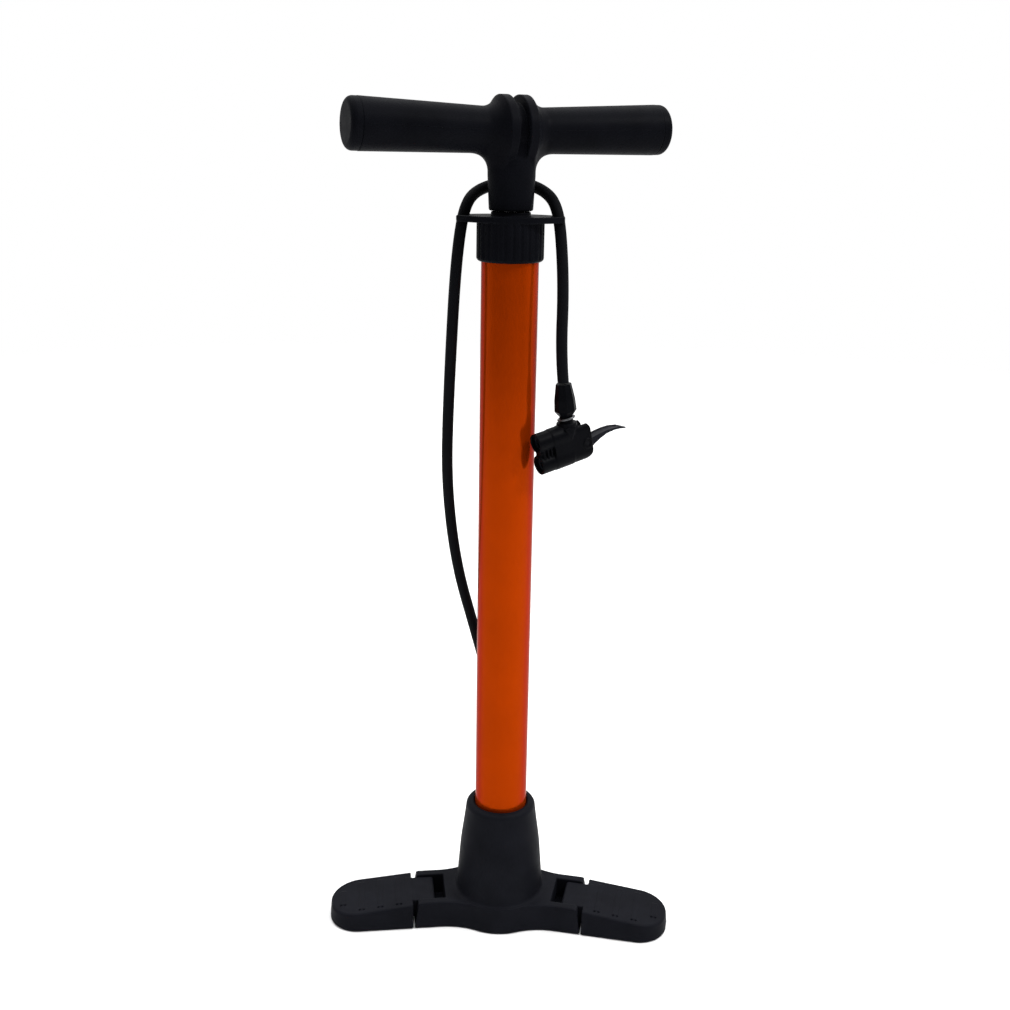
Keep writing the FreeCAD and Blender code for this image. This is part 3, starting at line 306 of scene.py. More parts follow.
def make_studio():
    """A white room: bright behind and above the object, dimmer in front, with a white backdrop."""
    scene = bpy.context.scene
    scene.view_settings.view_transform = "Standard"
    world = bpy.data.worlds.new("studio")
    world.use_nodes = True
    tree = world.node_tree
    background = tree.nodes["Background"]
    background.inputs["Color"].default_value = (1, 1, 1, 1)
    heading = tree.nodes.new("ShaderNodeTexCoord")
    split = tree.nodes.new("ShaderNodeSeparateXYZ")
    level = tree.nodes.new("ShaderNodeMapRange")
    level.inputs["From Min"].default_value, level.inputs["From Max"].default_value = GLOW_TURNS
    level.inputs["To Min"].default_value = FRONT_GLOW
    level.inputs["To Max"].default_value = BACK_GLOW
    tree.links.new(heading.outputs["Generated"], split.inputs["Vector"])
    tree.links.new(split.outputs["Y"], level.inputs["Value"])
    rays = tree.nodes.new("ShaderNodeLightPath")
    strength = tree.nodes.new("ShaderNodeMath")
    strength.operation = "MAXIMUM"
    tree.links.new(level.outputs["Result"], strength.inputs[0])
    tree.links.new(rays.outputs["Is Camera Ray"], strength.inputs[1])
    tree.links.new(strength.outputs["Value"], background.inputs["Strength"])
    scene.world = world
    area_light("ceiling", **CEILING_LIGHT)
    area_light("key", **KEY_LIGHT)
    make_floor()


FLOOR_HALF = 3.0
FLOOR_DROP = 0.0002
FLOOR_FADE = (1.3, 2.8)
FLOOR_COLOUR = (0.93, 0.93, 0.93, 1)


def make_floor():
    """A plain pale floor that melts into the white backdrop some way off."""
    corners = np.array([(x, y, 0) for x, y in ((-1, -1), (1, -1), (1, 1), (-1, 1))], dtype=float)
    floor = mesh_object("studio_floor", corners * FLOOR_HALF / MM, [(0, 1, 2, 3)])
    floor.location.z = -FLOOR_DROP
    material, tree, shader = new_material("studio_floor")
    shader.inputs["Base Color"].default_value = FLOOR_COLOUR
    shader.inputs["Roughness"].default_value = 0.9
    place = tree.nodes.new("ShaderNodeTexCoord")
    far = tree.nodes.new("ShaderNodeVectorMath")
    far.operation = "LENGTH"
    fade = tree.nodes.new("ShaderNodeMapRange")
    fade.interpolation_type = "SMOOTHSTEP"
    fade.inputs["From Min"].default_value, fade.inputs["From Max"].default_value = FLOOR_FADE
    fade.inputs["To Min"].default_value = 1.0
    fade.inputs["To Max"].default_value = 0.0
    tree.links.new(place.outputs["Object"], far.inputs[0])
    tree.links.new(far.outputs["Value"], fade.inputs["Value"])
    tree.links.new(fade.outputs["Result"], shader.inputs["Alpha"])
    floor.data.materials.append(material)


# ---------------------------------------------------------------- materials

def new_material(name):
    material = bpy.data.materials.new(name)
    material.use_nodes = True
    return material, material.node_tree, material.node_tree.nodes["Principled BSDF"]


def noise(tree, scale, detail=3.0, roughness=0.55):
    """Noise in the object's own metres; scale is the number of waves in a metre."""
    place = tree.nodes.new("ShaderNodeTexCoord")
    node = tree.nodes.new("ShaderNodeTexNoise")
    node.inputs["Scale"].default_value = scale
    node.inputs["Detail"].default_value = detail
    node.inputs["Roughness"].default_value = roughness
    tree.links.new(place.outputs["Object"], node.inputs["Vector"])
    return node.outputs["Fac"]


def ramp(tree, source, stops):
    """A two-stop colour ramp; each stop is its place and its colour."""
    node = tree.nodes.new("ShaderNodeValToRGB")
    node.color_ramp.elements[0].position, node.color_ramp.elements[0].color = stops[0]
    node.color_ramp.elements[1].position, node.color_ramp.elements[1].color = stops[1]
    tree.links.new(source, node.inputs["Fac"])
    return node.outputs["Color"]


def finish_material(tree, shader, colour, rough, grain, strength, distance):
    """Wire colour, roughness and a bumpy grain into the shader."""
    tree.links.new(colour, shader.inputs["Base Color"])
    tree.links.new(rough, shader.inputs["Roughness"])
    bump = tree.nodes.new("ShaderNodeBump")
    bump.inputs["Strength"].default_value = strength
    bump.inputs["Distance"].default_value = distance
    tree.links.new(grain, bump.inputs["Height"])
    tree.links.new(bump.outputs["Normal"], shader.inputs["Normal"])


def grey(level):
    """A level as a colour, for ramps that drive a number."""
    return (level, level, level, 1.0)


def cool(level):
    """A grey with a faint blue cast, as black plastic has."""
    return (level * 0.94, level, level * 1.4, 1.0)


def moulded(name, shade, rough, grain_scale=1400, strength=0.25, specular=0.04):
    """Moulded plastic: slight mottling, uneven gloss and a fine grain."""
    material, tree, shader = new_material(name)
    shader.inputs["Specular IOR Level"].default_value = specular
    mottle = noise(tree, 45, 4)
    colour = ramp(tree, mottle, ((0.3, cool(shade * 0.82)), (0.75, cool(shade * 1.25))))
    wear = noise(tree, 130, 5, 0.65)
    gloss = ramp(tree, wear, ((0.25, grey(rough - 0.07)), (0.8, grey(rough + 0.08))))
    grain = noise(tree, grain_scale, 2, 0.5)
    finish_material(tree, shader, colour, gloss, grain, strength, 0.00012)
    return material


def enamel(name, colour, rough):
    """Orange enamel on steel: a faint orange peel, slight shade changes and a clear gloss."""
    material, tree, shader = new_material(name)
    shader.inputs["Metallic"].default_value = 0.45
    shader.inputs["Coat Weight"].default_value = 0.01
    shader.inputs["Coat Roughness"].default_value = 0.05
    shader.inputs["Specular IOR Level"].default_value = 0.02
    shader.inputs["Specular Tint"].default_value = (0.42, 0.19, 0.085, 1)
    patch = noise(tree, 18, 4)
    dark = tuple(c * 0.93 for c in colour) + (1,)
    light = tuple(min(c * 1.07, 1) for c in colour) + (1,)
    base = ramp(tree, patch, ((0.3, dark), (0.7, light)))
    gloss = ramp(tree, noise(tree, 70, 5), ((0.3, grey(rough - 0.05)), (0.75, grey(rough + 0.07))))
    finish_material(tree, shader, base, gloss, noise(tree, 420, 2), 0.05, 0.0002)
    return material


def metal(name, colour, rough):
    """Bare or plated metal: faint stains, uneven gloss and fine scratches."""
    material, tree, shader = new_material(name)
    shader.inputs["Metallic"].default_value = 1.0
    dark = tuple(c * 0.85 for c in colour) + (1,)
    base = ramp(tree, noise(tree, 160, 4), ((0.3, dark), (0.7, tuple(colour) + (1,))))
    gloss = ramp(tree, noise(tree, 300, 4), ((0.3, grey(rough - 0.05)), (0.8, grey(rough + 0.1))))
    finish_material(tree, shader, base, gloss, noise(tree, 900, 2), 0.06, 0.0001)
    return material


RUBBER = {"grain_scale": 2600, "strength": 0.35, "specular": 0.05}
MOULDED = {
    "black_plastic": {"shade": 0.0062, "rough": 0.54, "specular": 0.026},
    "handle_plastic": {"shade": 0.0036, "rough": 0.45, "grain_scale": 1900, "specular": 0.013},
    "chuck_plastic": {"shade": 0.0022, "rough": 0.4, "grain_scale": 1600, "strength": 0.15,
                      "specular": 0.028},
    "lever_plastic": {"shade": 0.008, "rough": 0.36, "grain_scale": 1600, "strength": 0.12},
    "hose_rubber": {"shade": 0.0028, "rough": 0.72, **RUBBER},
    "seal_rubber": {"shade": 0.008, "rough": 0.65, **RUBBER},
    "nylon": {"shade": 0.5, "rough": 0.45, "grain_scale": 1500, "strength": 0.1},
    "black_steel": {"shade": 0.003, "rough": 0.4, "grain_scale": 1200, "strength": 0.1,
                    "specular": 0.06},
}
METALS = {
    "steel": {"colour": (0.55, 0.55, 0.56), "rough": 0.35},
    "rod_chrome": {"colour": (0.65, 0.65, 0.67), "rough": 0.16},
    "bright_metal": {"colour": (0.12, 0.122, 0.128), "rough": 0.4},
    "brass": {"colour": (0.72, 0.52, 0.22), "rough": 0.3},
}
ORANGE = {"colour": (0.32, 0.031, 0.0001), "rough": 0.16}


def make_materials():
    materials = {name: moulded(name, **look) for name, look in MOULDED.items()}
    materials.update({name: metal(name, **look) for name, look in METALS.items()})
    materials["orange_paint"] = enamel("orange_paint", **ORANGE)
    return materials


def paint_nodes(materials):
    """Give every CAD node its own slot's material."""
    slots = {row["node"]: row["material_slot"] for row in frame["record"]["subparts"]}
    for node, obj in frame["nodes"].items():
        obj.data.materials.clear()
        obj.data.materials.append(materials[slots[node]])


def show(piece, body, node, slot, materials):
    """Put a new piece on its body in place of a node, with its slot's material."""
    piece.data.materials.append(materials[slot])
    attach(piece, body)
    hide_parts(node)
    return piece


# ---------------------------------------------------------------- base and feet

BASE_GRID = ((-70, -46, -1.2), (70, 58, 92.4), 0.6)
PLATE_HEIGHT = 19.2
PLATE_EDGE = 1.3
SIDE_DRAFT = 3.1
HUB_RADIUS = 37.8
ARM_HALF_WIDTH = 24.7
WAIST_RADIUS = 50.0
HINGE_DISTANCE = 56.5
HINGE_HEIGHT = 10.7
HINGE_HOLE_RADIUS = 2.02
HINGE_HOLE_HALF = 19.5
PRONG_END = HINGE_DISTANCE + 9.0
NOSE_ROUND = 6.5
SLOT_START = 42.1
SLOT_HALF_WIDTH = 15.0
SLOT_FLOOR = 2.5
OUTLET_Y = 41.0
OUTLET_TOP = 34.0
OUTLET_RADIUS = 10.0
OUTLET_CHAMBER = {"radius": 5.0, "span": (20, 40)}
OUTLET_PASSAGE = {"radius": 2.5, "span": (12, 21)}
LOBE_RADIUS = 13.0
LOBE_HEIGHT = PLATE_HEIGHT - 3.0
SOCKET_TOP = 91.0
SOCKET_RIM_ROUND = 4.2
SOCKET_FOOT_ROUND = 2.9
SOCKET_FOOT_SLOPE = 0.075
SOCKET_WALL = ((30.6, 31.7), (39.2, 31.0), (56.5, 29.7), (65.0, 28.6), (77.8, 26.8),
               (SOCKET_TOP - SOCKET_RIM_ROUND, 25.7))
BORE_GAP = 0.05
BORE_FLOOR = 24.0
BORE_LEAD_IN = 1.2


def arc_points(centre, radius, start, finish, count=16):
    """Points along an arc, from the angle start to the angle finish."""
    return [(centre[0] + radius * math.cos(start + (finish - start) * i / count),
             centre[1] + radius * math.sin(start + (finish - start) * i / count))
            for i in range(count + 1)]


def arm_axes(x, y):
    """Distance along the nearer arm, and across it (+ is to the rear)."""
    side = np.abs(x)
    cosine, sine = math.cos(ARM_SWEEP), math.sin(ARM_SWEEP)
    return side * cosine - y * sine, side * sine + y * cosine


def plate_outline():
    """Plan of the base plate: a disc and two swept arms, joined by wide fillets."""
    reach = HUB_RADIUS + WAIST_RADIUS
    middle = ARM_HALF_WIDTH + WAIST_RADIUS
    along = math.sqrt(reach ** 2 - middle ** 2)
    lean = math.atan2(middle, along)
    cosine, sine = math.cos(ARM_SWEEP), math.sin(ARM_SWEEP)
    rim = arc_points((0, 0), HUB_RADIUS, -math.pi / 2 - ARM_SWEEP, -lean)
    waist = arc_points((along, -middle), WAIST_RADIUS, math.pi - lean, math.pi / 2)
    end = [(PRONG_END, -ARM_HALF_WIDTH), (PRONG_END, ARM_HALF_WIDTH)]
    back = [(d, -a) for d, a in reversed(waist)]
    top = arc_points((0, 0), HUB_RADIUS, lean, math.pi / 2 - ARM_SWEEP)
    rim, right, top = ([(d * cosine + a * sine, a * cosine - d * sine) for d, a in part]
                       for part in (rim, waist + end + back, top))
    half = [p for p in rim if p[0] > 0] + right + [p for p in top if p[0] > 0]
    return half + [(-x, y) for x, y in reversed(half)]


def socket_radius(z):
    """Outside radius of the socket at each height, with its foot fillet and rounded rim."""
    heights, radii = zip(*SOCKET_WALL)
    wall = np.interp(z, heights, radii) + SOCKET_FOOT_SLOPE * np.maximum(heights[0] - z, 0)
    near = np.clip((PLATE_HEIGHT + SOCKET_FOOT_ROUND - z) / SOCKET_FOOT_ROUND, 0, 1)
    fillet = SOCKET_FOOT_ROUND * (1 - np.sqrt(1 - near ** 2))
    over = np.clip((z - SOCKET_TOP + SOCKET_RIM_ROUND) / SOCKET_RIM_ROUND, 0, 1)
    rim = SOCKET_RIM_ROUND * (1 - np.sqrt(1 - over ** 2))
    return wall + fillet - rim


def make_plate(g, along):
    """The flat part: hub and arms with drafted sides and rounded noses."""
    draft = math.atan(SIDE_DRAFT / PLATE_HEIGHT)
    outline = polygon(g.x, g.y, plate_outline()) + SIDE_DRAFT * g.z / PLATE_HEIGHT
    flat = block([outline * math.cos(draft), slab(g.z, 0, PLATE_HEIGHT)], PLATE_EDGE)
    return overlap(flat, block([along - PRONG_END, g.z - PLATE_HEIGHT], NOSE_ROUND))


def make_foot_base(materials):
    """Plate with swept arms, tapering socket and the outlet boss, in one moulding."""
    g = Grid(*BASE_GRID)
    far = np.hypot(g.x, g.y)
    along, across = arm_axes(g.x, g.y)
    socket = overlap(overlap(far - socket_radius(g.z), g.z - SOCKET_TOP), 8 - g.z)
    shape = join(make_plate(g, along), socket, 0.3)
    centre = (0.0, OUTLET_Y)
    lobe = join(disc(g.x, g.y, LOBE_RADIUS, centre),
                block([np.abs(g.x) - LOBE_RADIUS, slab(g.y, 20, OUTLET_Y)]))
    shape = join(shape, block([lobe, slab(g.z, 0, LOBE_HEIGHT)], 1.0), 1.5)
    boss = block([disc(g.x, g.y, OUTLET_RADIUS, centre), slab(g.z, 2, OUTLET_TOP)], 0.8)
    shape = join(shape, boss, 1.5)
    lead_in = BORE_LEAD_IN * np.clip((g.z - SOCKET_TOP + 2) / 2, 0, 1)
    shape = cut(shape, overlap(far - BARREL_RADIUS - BORE_GAP - lead_in, BORE_FLOOR - g.z))
    slot = block([slab(along, SLOT_START, PRONG_END + 8), np.abs(across) - SLOT_HALF_WIDTH])
    shape = cut(shape, overlap(slot + 0 * g.z, SLOT_FLOOR - g.z), 0.7)
    pin = disc(along, g.z, HINGE_HOLE_RADIUS, (HINGE_DISTANCE, HINGE_HEIGHT))
    shape = cut(shape, overlap(pin, np.abs(across) - HINGE_HOLE_HALF))
    for hole in (OUTLET_CHAMBER, OUTLET_PASSAGE):
        round_hole = disc(g.x, g.y, hole["radius"], centre)
        shape = cut(shape, overlap(round_hole, slab(g.z, *hole["span"])))
    show(mesh_object("foot_base_moulding", *skin(g, shape)), "base", "foot_base", "black_plastic",
         materials)


FOOT_GRID = ((48, -27, -1.2), (130, 27, 20), 0.4)
FOOT_START = PRONG_END + 1.1
FOOT_TIP = 128.0
FOOT_HALF_WIDTH = 25.0
FOOT_ROOT_HEIGHT = 17.9
FOOT_TIP_HEIGHT = 11.5
FOOT_FALL = (FOOT_ROOT_HEIGHT - FOOT_TIP_HEIGHT) / (FOOT_TIP - FOOT_START)
FOOT_CORNER = 21.5
FOOT_EDGE = 1.7
TIP_DRAFT = 1.4
TONGUE_HALF_WIDTH = 14.7
TONGUE_OVERLAP = 9.0
KNUCKLE_RADIUS = 6.7
KNUCKLE_HOLE_RADIUS = 2.08
TREADS = ((77.0, 34.0), (90.8, 34.0), (104.6, 34.0), (118.4, 17.0))
TREAD_HALF_WIDTH = 2.0
TREAD_HEIGHT = 0.5
DIMPLE_RADIUS = 0.75
DIMPLE_DEPTH = 0.7
DIMPLE_OFFSET = 1.6


def make_tongue(g):
    """The foot's hinge tongue: a knuckle round the pin that widens into the foot."""
    low = HINGE_HEIGHT - KNUCKLE_RADIUS
    crown = FOOT_ROOT_HEIGHT - 0.3
    back = HINGE_DISTANCE - KNUCKLE_RADIUS
    end = FOOT_START + TONGUE_OVERLAP
    knuckle = disc(g.x, g.z, KNUCKLE_RADIUS, (HINGE_DISTANCE, HINGE_HEIGHT))
    upper = block([slab(g.x, back, end), slab(g.z, low + 4, crown)], 2.2)
    lower = block([slab(g.x, HINGE_DISTANCE, end), slab(g.z, low, crown)], 0.5)
    side = overlap(join(knuckle, join(upper, lower)), g.x - FOOT_START - 4)
    return block([side, np.abs(g.y) - TONGUE_HALF_WIDTH], 0.7)


def add_tread(g, shape, height, place, length, side):
    """A tread bar across the foot, with two dimples beyond its outer end."""
    bar = block([np.abs(g.x - place) - TREAD_HALF_WIDTH, np.abs(g.y) - length / 2,
                 np.abs(height) - TREAD_HEIGHT], 0.35)
    shape = join(shape, bar, 0.35)
    for edge in (-DIMPLE_OFFSET, DIMPLE_OFFSET):
        dot = np.hypot(g.x - place - edge, g.y + side * (length / 2 + 0.5)) - DIMPLE_RADIUS
        shape = cut(shape, overlap(dot + 0 * g.z, -DIMPLE_DEPTH - height), 0.3)
    return shape


def make_foot(node, side, materials):
    """A foot along +X, then turned onto its arm: side is 1 for the right and -1 for the left."""
    g = Grid(*FOOT_GRID)
    depth = g.z / FOOT_ROOT_HEIGHT
    plan = block([g.x - FOOT_TIP + TIP_DRAFT * depth,
                  np.abs(g.y) - FOOT_HALF_WIDTH + SIDE_DRAFT * depth], FOOT_CORNER)
    top = FOOT_ROOT_HEIGHT - FOOT_FALL * (g.x - FOOT_START)
    height = (g.z - top) * math.cos(math.atan(FOOT_FALL))
    shape = block([plan, height, -g.z], FOOT_EDGE)
    shape = overlap(shape, FOOT_START - g.x, 0.9)
    shape = join(shape, make_tongue(g), 0.8)
    for place, length in TREADS:
        shape = add_tread(g, shape, height, place, length, side)
    hole = disc(g.x, g.z, KNUCKLE_HOLE_RADIUS, (HINGE_DISTANCE, HINGE_HEIGHT))
    shape = cut(shape, hole + 0 * g.y)
    turn = -ARM_SWEEP if side > 0 else math.pi + ARM_SWEEP
    piece = mesh_object(node + "_moulding", *skin(g, shape), Matrix.Rotation(turn, 4, "Z"))
    show(piece, node, node, "black_plastic", materials)


# ---------------------------------------------------------------- cap of the barrel

CAP_GRID = ((-37, -24, 486), (37, 24, 520.2), 0.35)
CAP_RADIUS = 22.2
CAP_BOTTOM = 487.2
CAP_EDGE = 2.8
CAP_FLUTES = 26
FLUTE_RADIUS = 1.5
FLUTE_OFFSET = 0.95
FLUTE_BOTTOM = CAP_BOTTOM + 1.8
BARREL_TOP = 510.2
FLANGE_TOP = 516.4
FLANGE_THICKNESS = 4.0
FLANGE_HALF_DEPTH = 22.0
FLANGE_REACH = 35.3
FLANGE_TIP_HALF = 5.6
EAR_CENTRE = 31.2
EAR_RADIUS = 4.6
EAR_STRETCH = 0.9
EAR_MOUTH_HALF = 2.9
BOSS_RADIUS = 13.0
BOSS_TOP = 519.0
BUSH_RADIUS = 9.0
VENT_RADIUS = 0.9
VENT_CENTRE = (0, 16)


def make_flange(g):
    """Lens-shaped flange, with an open clip for the hose cut into each tip."""
    sag = FLANGE_HALF_DEPTH - FLANGE_TIP_HALF
    bow = (FLANGE_REACH ** 2 + sag ** 2) / (2 * sag)
    lens = overlap(disc(g.x, g.y, bow, (0, bow - FLANGE_HALF_DEPTH)),
                   disc(g.x, g.y, bow, (0, FLANGE_HALF_DEPTH - bow)))
    reach = np.abs(g.x)
    lens = overlap(lens, reach - FLANGE_REACH, 1.2)
    stretched = np.maximum(np.abs(g.y) - EAR_STRETCH, 0)
    ear = disc(reach, stretched, EAR_RADIUS, (EAR_CENTRE, 0))
    mouth = block([slab(reach, EAR_CENTRE, FLANGE_REACH + 4), np.abs(g.y) - EAR_MOUTH_HALF])
    lens = cut(lens, join(ear, mouth, 1.0), 0.8)
    return block([lens, slab(g.z, FLANGE_TOP - FLANGE_THICKNESS, FLANGE_TOP)], 0.7)


def make_top_cap(materials):
    """Fluted cap with its flange and the boss round the rod's bush."""
    g = Grid(*CAP_GRID)
    far = np.hypot(g.x, g.y)
    angle = np.arctan2(g.y, g.x)
    shape = block([far - CAP_RADIUS, slab(g.z, CAP_BOTTOM, FLANGE_TOP - 1)], CAP_EDGE)
    pitch = 2 * math.pi / CAP_FLUTES
    swing = (angle / pitch - np.round(angle / pitch)) * pitch
    flute = disc(far * np.cos(swing), far * np.sin(swing), FLUTE_RADIUS,
                 (CAP_RADIUS + FLUTE_OFFSET, 0))
    shape = cut(shape, overlap(flute + 0 * g.z, FLUTE_BOTTOM - g.z, 0.8), 0.5)
    shape = join(shape, make_flange(g), 0.6)
    shape = join(shape, block([far - BOSS_RADIUS, slab(g.z, FLANGE_TOP - 3, BOSS_TOP)], 0.8), 0.8)
    shape = cut(shape, far - BUSH_RADIUS - BORE_GAP + 0 * g.z)
    shape = cut(shape, overlap(far - BARREL_RADIUS - BORE_GAP, g.z - BARREL_TOP - 0.5))
    vent = disc(g.x, g.y, VENT_RADIUS, VENT_CENTRE)
    shape = cut(shape, overlap(vent, FLANGE_TOP - 6 - g.z))
    piece = mesh_object("top_cap_moulding", *skin(g, shape))
    show(piece, "base", "top_cap", "handle_plastic", materials)


# ---------------------------------------------------------------- handle

HANDLE_GRID = ((-104, -24, 518.5), (104, 24, 593.5), 0.5)
BAR_START = 22.0
BAR_HALF_LENGTH = 102.5
BAR_END_RADIUS = 16.2
BAR_NECK_RADIUS = 14.4
BAR_RISE = math.radians(1.42)
BAR_BORE_RADIUS = 11.0
BAR_BORE_START = 85.0
RIDGE_RADIUS = 22.3
GROOVE_RADIUS = 17.0
COLLAR_HALF_PROFILE = ((-9.0, 0.0), (-9.0, GROOVE_RADIUS), (3.3, GROOVE_RADIUS),
                       (3.6, RIDGE_RADIUS - 0.3), (3.9, RIDGE_RADIUS), (9.4, RIDGE_RADIUS),
                       (16.0, 14.0), (16.0, 0.0))
STEM_BOTTOM = 519.5
STEM_RADIUS = 14.4
STEM_TOP_RADIUS = 15.5
STEM_FLARE_HEIGHT = 22.0
STEM_FILLET = 14.0
ROD_HOLE_RADIUS = 5.02
ROD_HOLE_TOP = BAR_HEIGHT - 12.5
SEAM_RADIUS = 0.22
SEAM_SINK = 0.08


def bar_radius(along):
    """Radius of a handle arm, which swells towards its end."""
    part = np.clip((along - BAR_START) / (BAR_HALF_LENGTH - BAR_START), 0, 1)
    return BAR_NECK_RADIUS + (BAR_END_RADIUS - BAR_NECK_RADIUS) * part


def make_handle(materials):
    """T-handle: swelling arms that rise a little, a grooved collar and a stem that flares into it."""
    g = Grid(*HANDLE_GRID)
    along = np.abs(g.x)
    lift = (g.z - BAR_HEIGHT - along * math.tan(BAR_RISE)) * math.cos(BAR_RISE)
    bar = np.hypot(g.y, lift) - bar_radius(along)
    far = np.hypot(g.x, g.y)
    rise = np.clip((g.z - STEM_BOTTOM) / STEM_FLARE_HEIGHT, 0, 1)
    stem_radius = STEM_RADIUS + (STEM_TOP_RADIUS - STEM_RADIUS) * rise
    stem = block([far - stem_radius, slab(g.z, STEM_BOTTOM, BAR_HEIGHT)], 1.2)
    fillet = np.clip(STEM_FILLET * (1 - (g.y / 15) ** 2), 2.5, None)
    shape = join(bar, stem, fillet)
    ring = polygon(along, np.hypot(g.y, g.z - BAR_HEIGHT), COLLAR_HALF_PROFILE)
    shape = join(shape, ring, np.clip(along - 6, 0.6, 5.0))
    shape = overlap(shape, along - BAR_HALF_LENGTH, 0.5)
    shape = cut(shape, overlap(np.hypot(g.y, lift) - BAR_BORE_RADIUS, BAR_BORE_START - along))
    shape = cut(shape, overlap(far - ROD_HOLE_RADIUS, g.z - ROD_HOLE_TOP))
    turn = Matrix.Rotation(HANDLE_YAW, 4, "Z")
    piece = mesh_object("handle_moulding", *skin(g, shape), turn)
    show(piece, "handle", "t_handle", "handle_plastic", materials)
    for side in (-1, 1):
        for face in (-1, 1):
            make_seam(side, face, turn, materials)


def make_seam(side, face, turn, materials):
    """The mould's parting line, a hair-thin bead along the middle of a handle arm."""
    points = [turn @ Vector((along * side, (bar_radius(along) - SEAM_SINK) * face,
                             BAR_HEIGHT + along * math.tan(BAR_RISE)))
              for along in np.linspace(BAR_START + 2, BAR_HALF_LENGTH - 2, 9)]
    seam = wire_object("handle_seam", points, SEAM_RADIUS, rings=1, capped=False)
    seam.data.materials.append(materials["handle_plastic"])
    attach(seam, "handle")


# ---------------------------------------------------------------- valve head

CHUCK_GRID = ((-25, -8.6, -15.6), (21, 8.6, 43), 0.3)
PITCH_HALF = 7.65
MOUTH_RADIUS = 6.75
BORE_RADIUS = 5.35
BORE_START = -8.0
CHUCK_FRONT = 20.0
CHUCK_BACK = -20.4
CHUCK_BACK_ROUND = 8.0
WAIST_BACK = 9.0
WEB_HALF_WIDTH = 3.4
RIB_COUNT = 3
RIB_START = WAIST_BACK + 1.4
RIB_PITCH = 2.9
RIB_WIDTH = 1.3
RIB_HALF_WIDTH = 5.2
PIVOT_U = -16.4
PIVOT_W = -2.0
PIVOT_RING_RADIUS = 3.1
PIVOT_RING_HALF = 0.4
PIN_RADIUS = 1.5
LEVER_SLOT_HALF = 4.9
LEVER_SLOT_FLOOR = -11.0
GUSSET = ((-0.4, 12.8), (-4.9, 5.0), (-9.4, 12.8))
COLLAR_RADIUS = 7.0
COLLAR_SPAN = (8, 15.4)
NECK_RADIUS = 4.6
NIPPLE_RADIUS = 3.0
NUT_BOTTOM = 20.2
NUT_TOP = 41.9
RING_RADIUS = 5.55
RING_WIRE = 0.75
RING_HEIGHT = 18.0
RING_ENDS = (math.radians(-150), math.radians(165))
RING_TILT_X = math.radians(8)
RING_TILT_Y = math.radians(7)


def chuck_place():
    """Local X runs out of the mouths, local Z up the neck, and local Y to one cheek."""
    level = Vector((-math.cos(CHUCK_HEADING), -math.sin(CHUCK_HEADING), 0))
    up = Vector((0, 0, 1))
    out = level * math.cos(CHUCK_DIP) - up * math.sin(CHUCK_DIP)
    stub = level * math.sin(CHUCK_DIP) + up * math.cos(CHUCK_DIP)
    side = stub.cross(out)
    centre = CHUCK_CENTRE * MM
    return Matrix(((out.x, side.x, stub.x, centre.x), (out.y, side.y, stub.y, centre.y),
                   (out.z, side.z, stub.z, centre.z), (0, 0, 0, 1)))


def make_stub(g):
    """The neck that carries the hose: a collar, a thinner neck and the nipple inside the nut."""
    off = g.x - STUB_U
    rise = g.z * math.cos(STUB_LEAN) - off * math.sin(STUB_LEAN)
    lean = off * math.cos(STUB_LEAN) + g.z * math.sin(STUB_LEAN)
    far = np.hypot(lean, g.y)
    collar = block([far - COLLAR_RADIUS, slab(rise, *COLLAR_SPAN)], 0.9)
    neck = block([far - NECK_RADIUS, slab(rise, 10, NUT_BOTTOM - 0.1)], 0.3)
    nipple = block([far - NIPPLE_RADIUS, slab(rise, 10, NUT_TOP)])
    return collar, neck, nipple


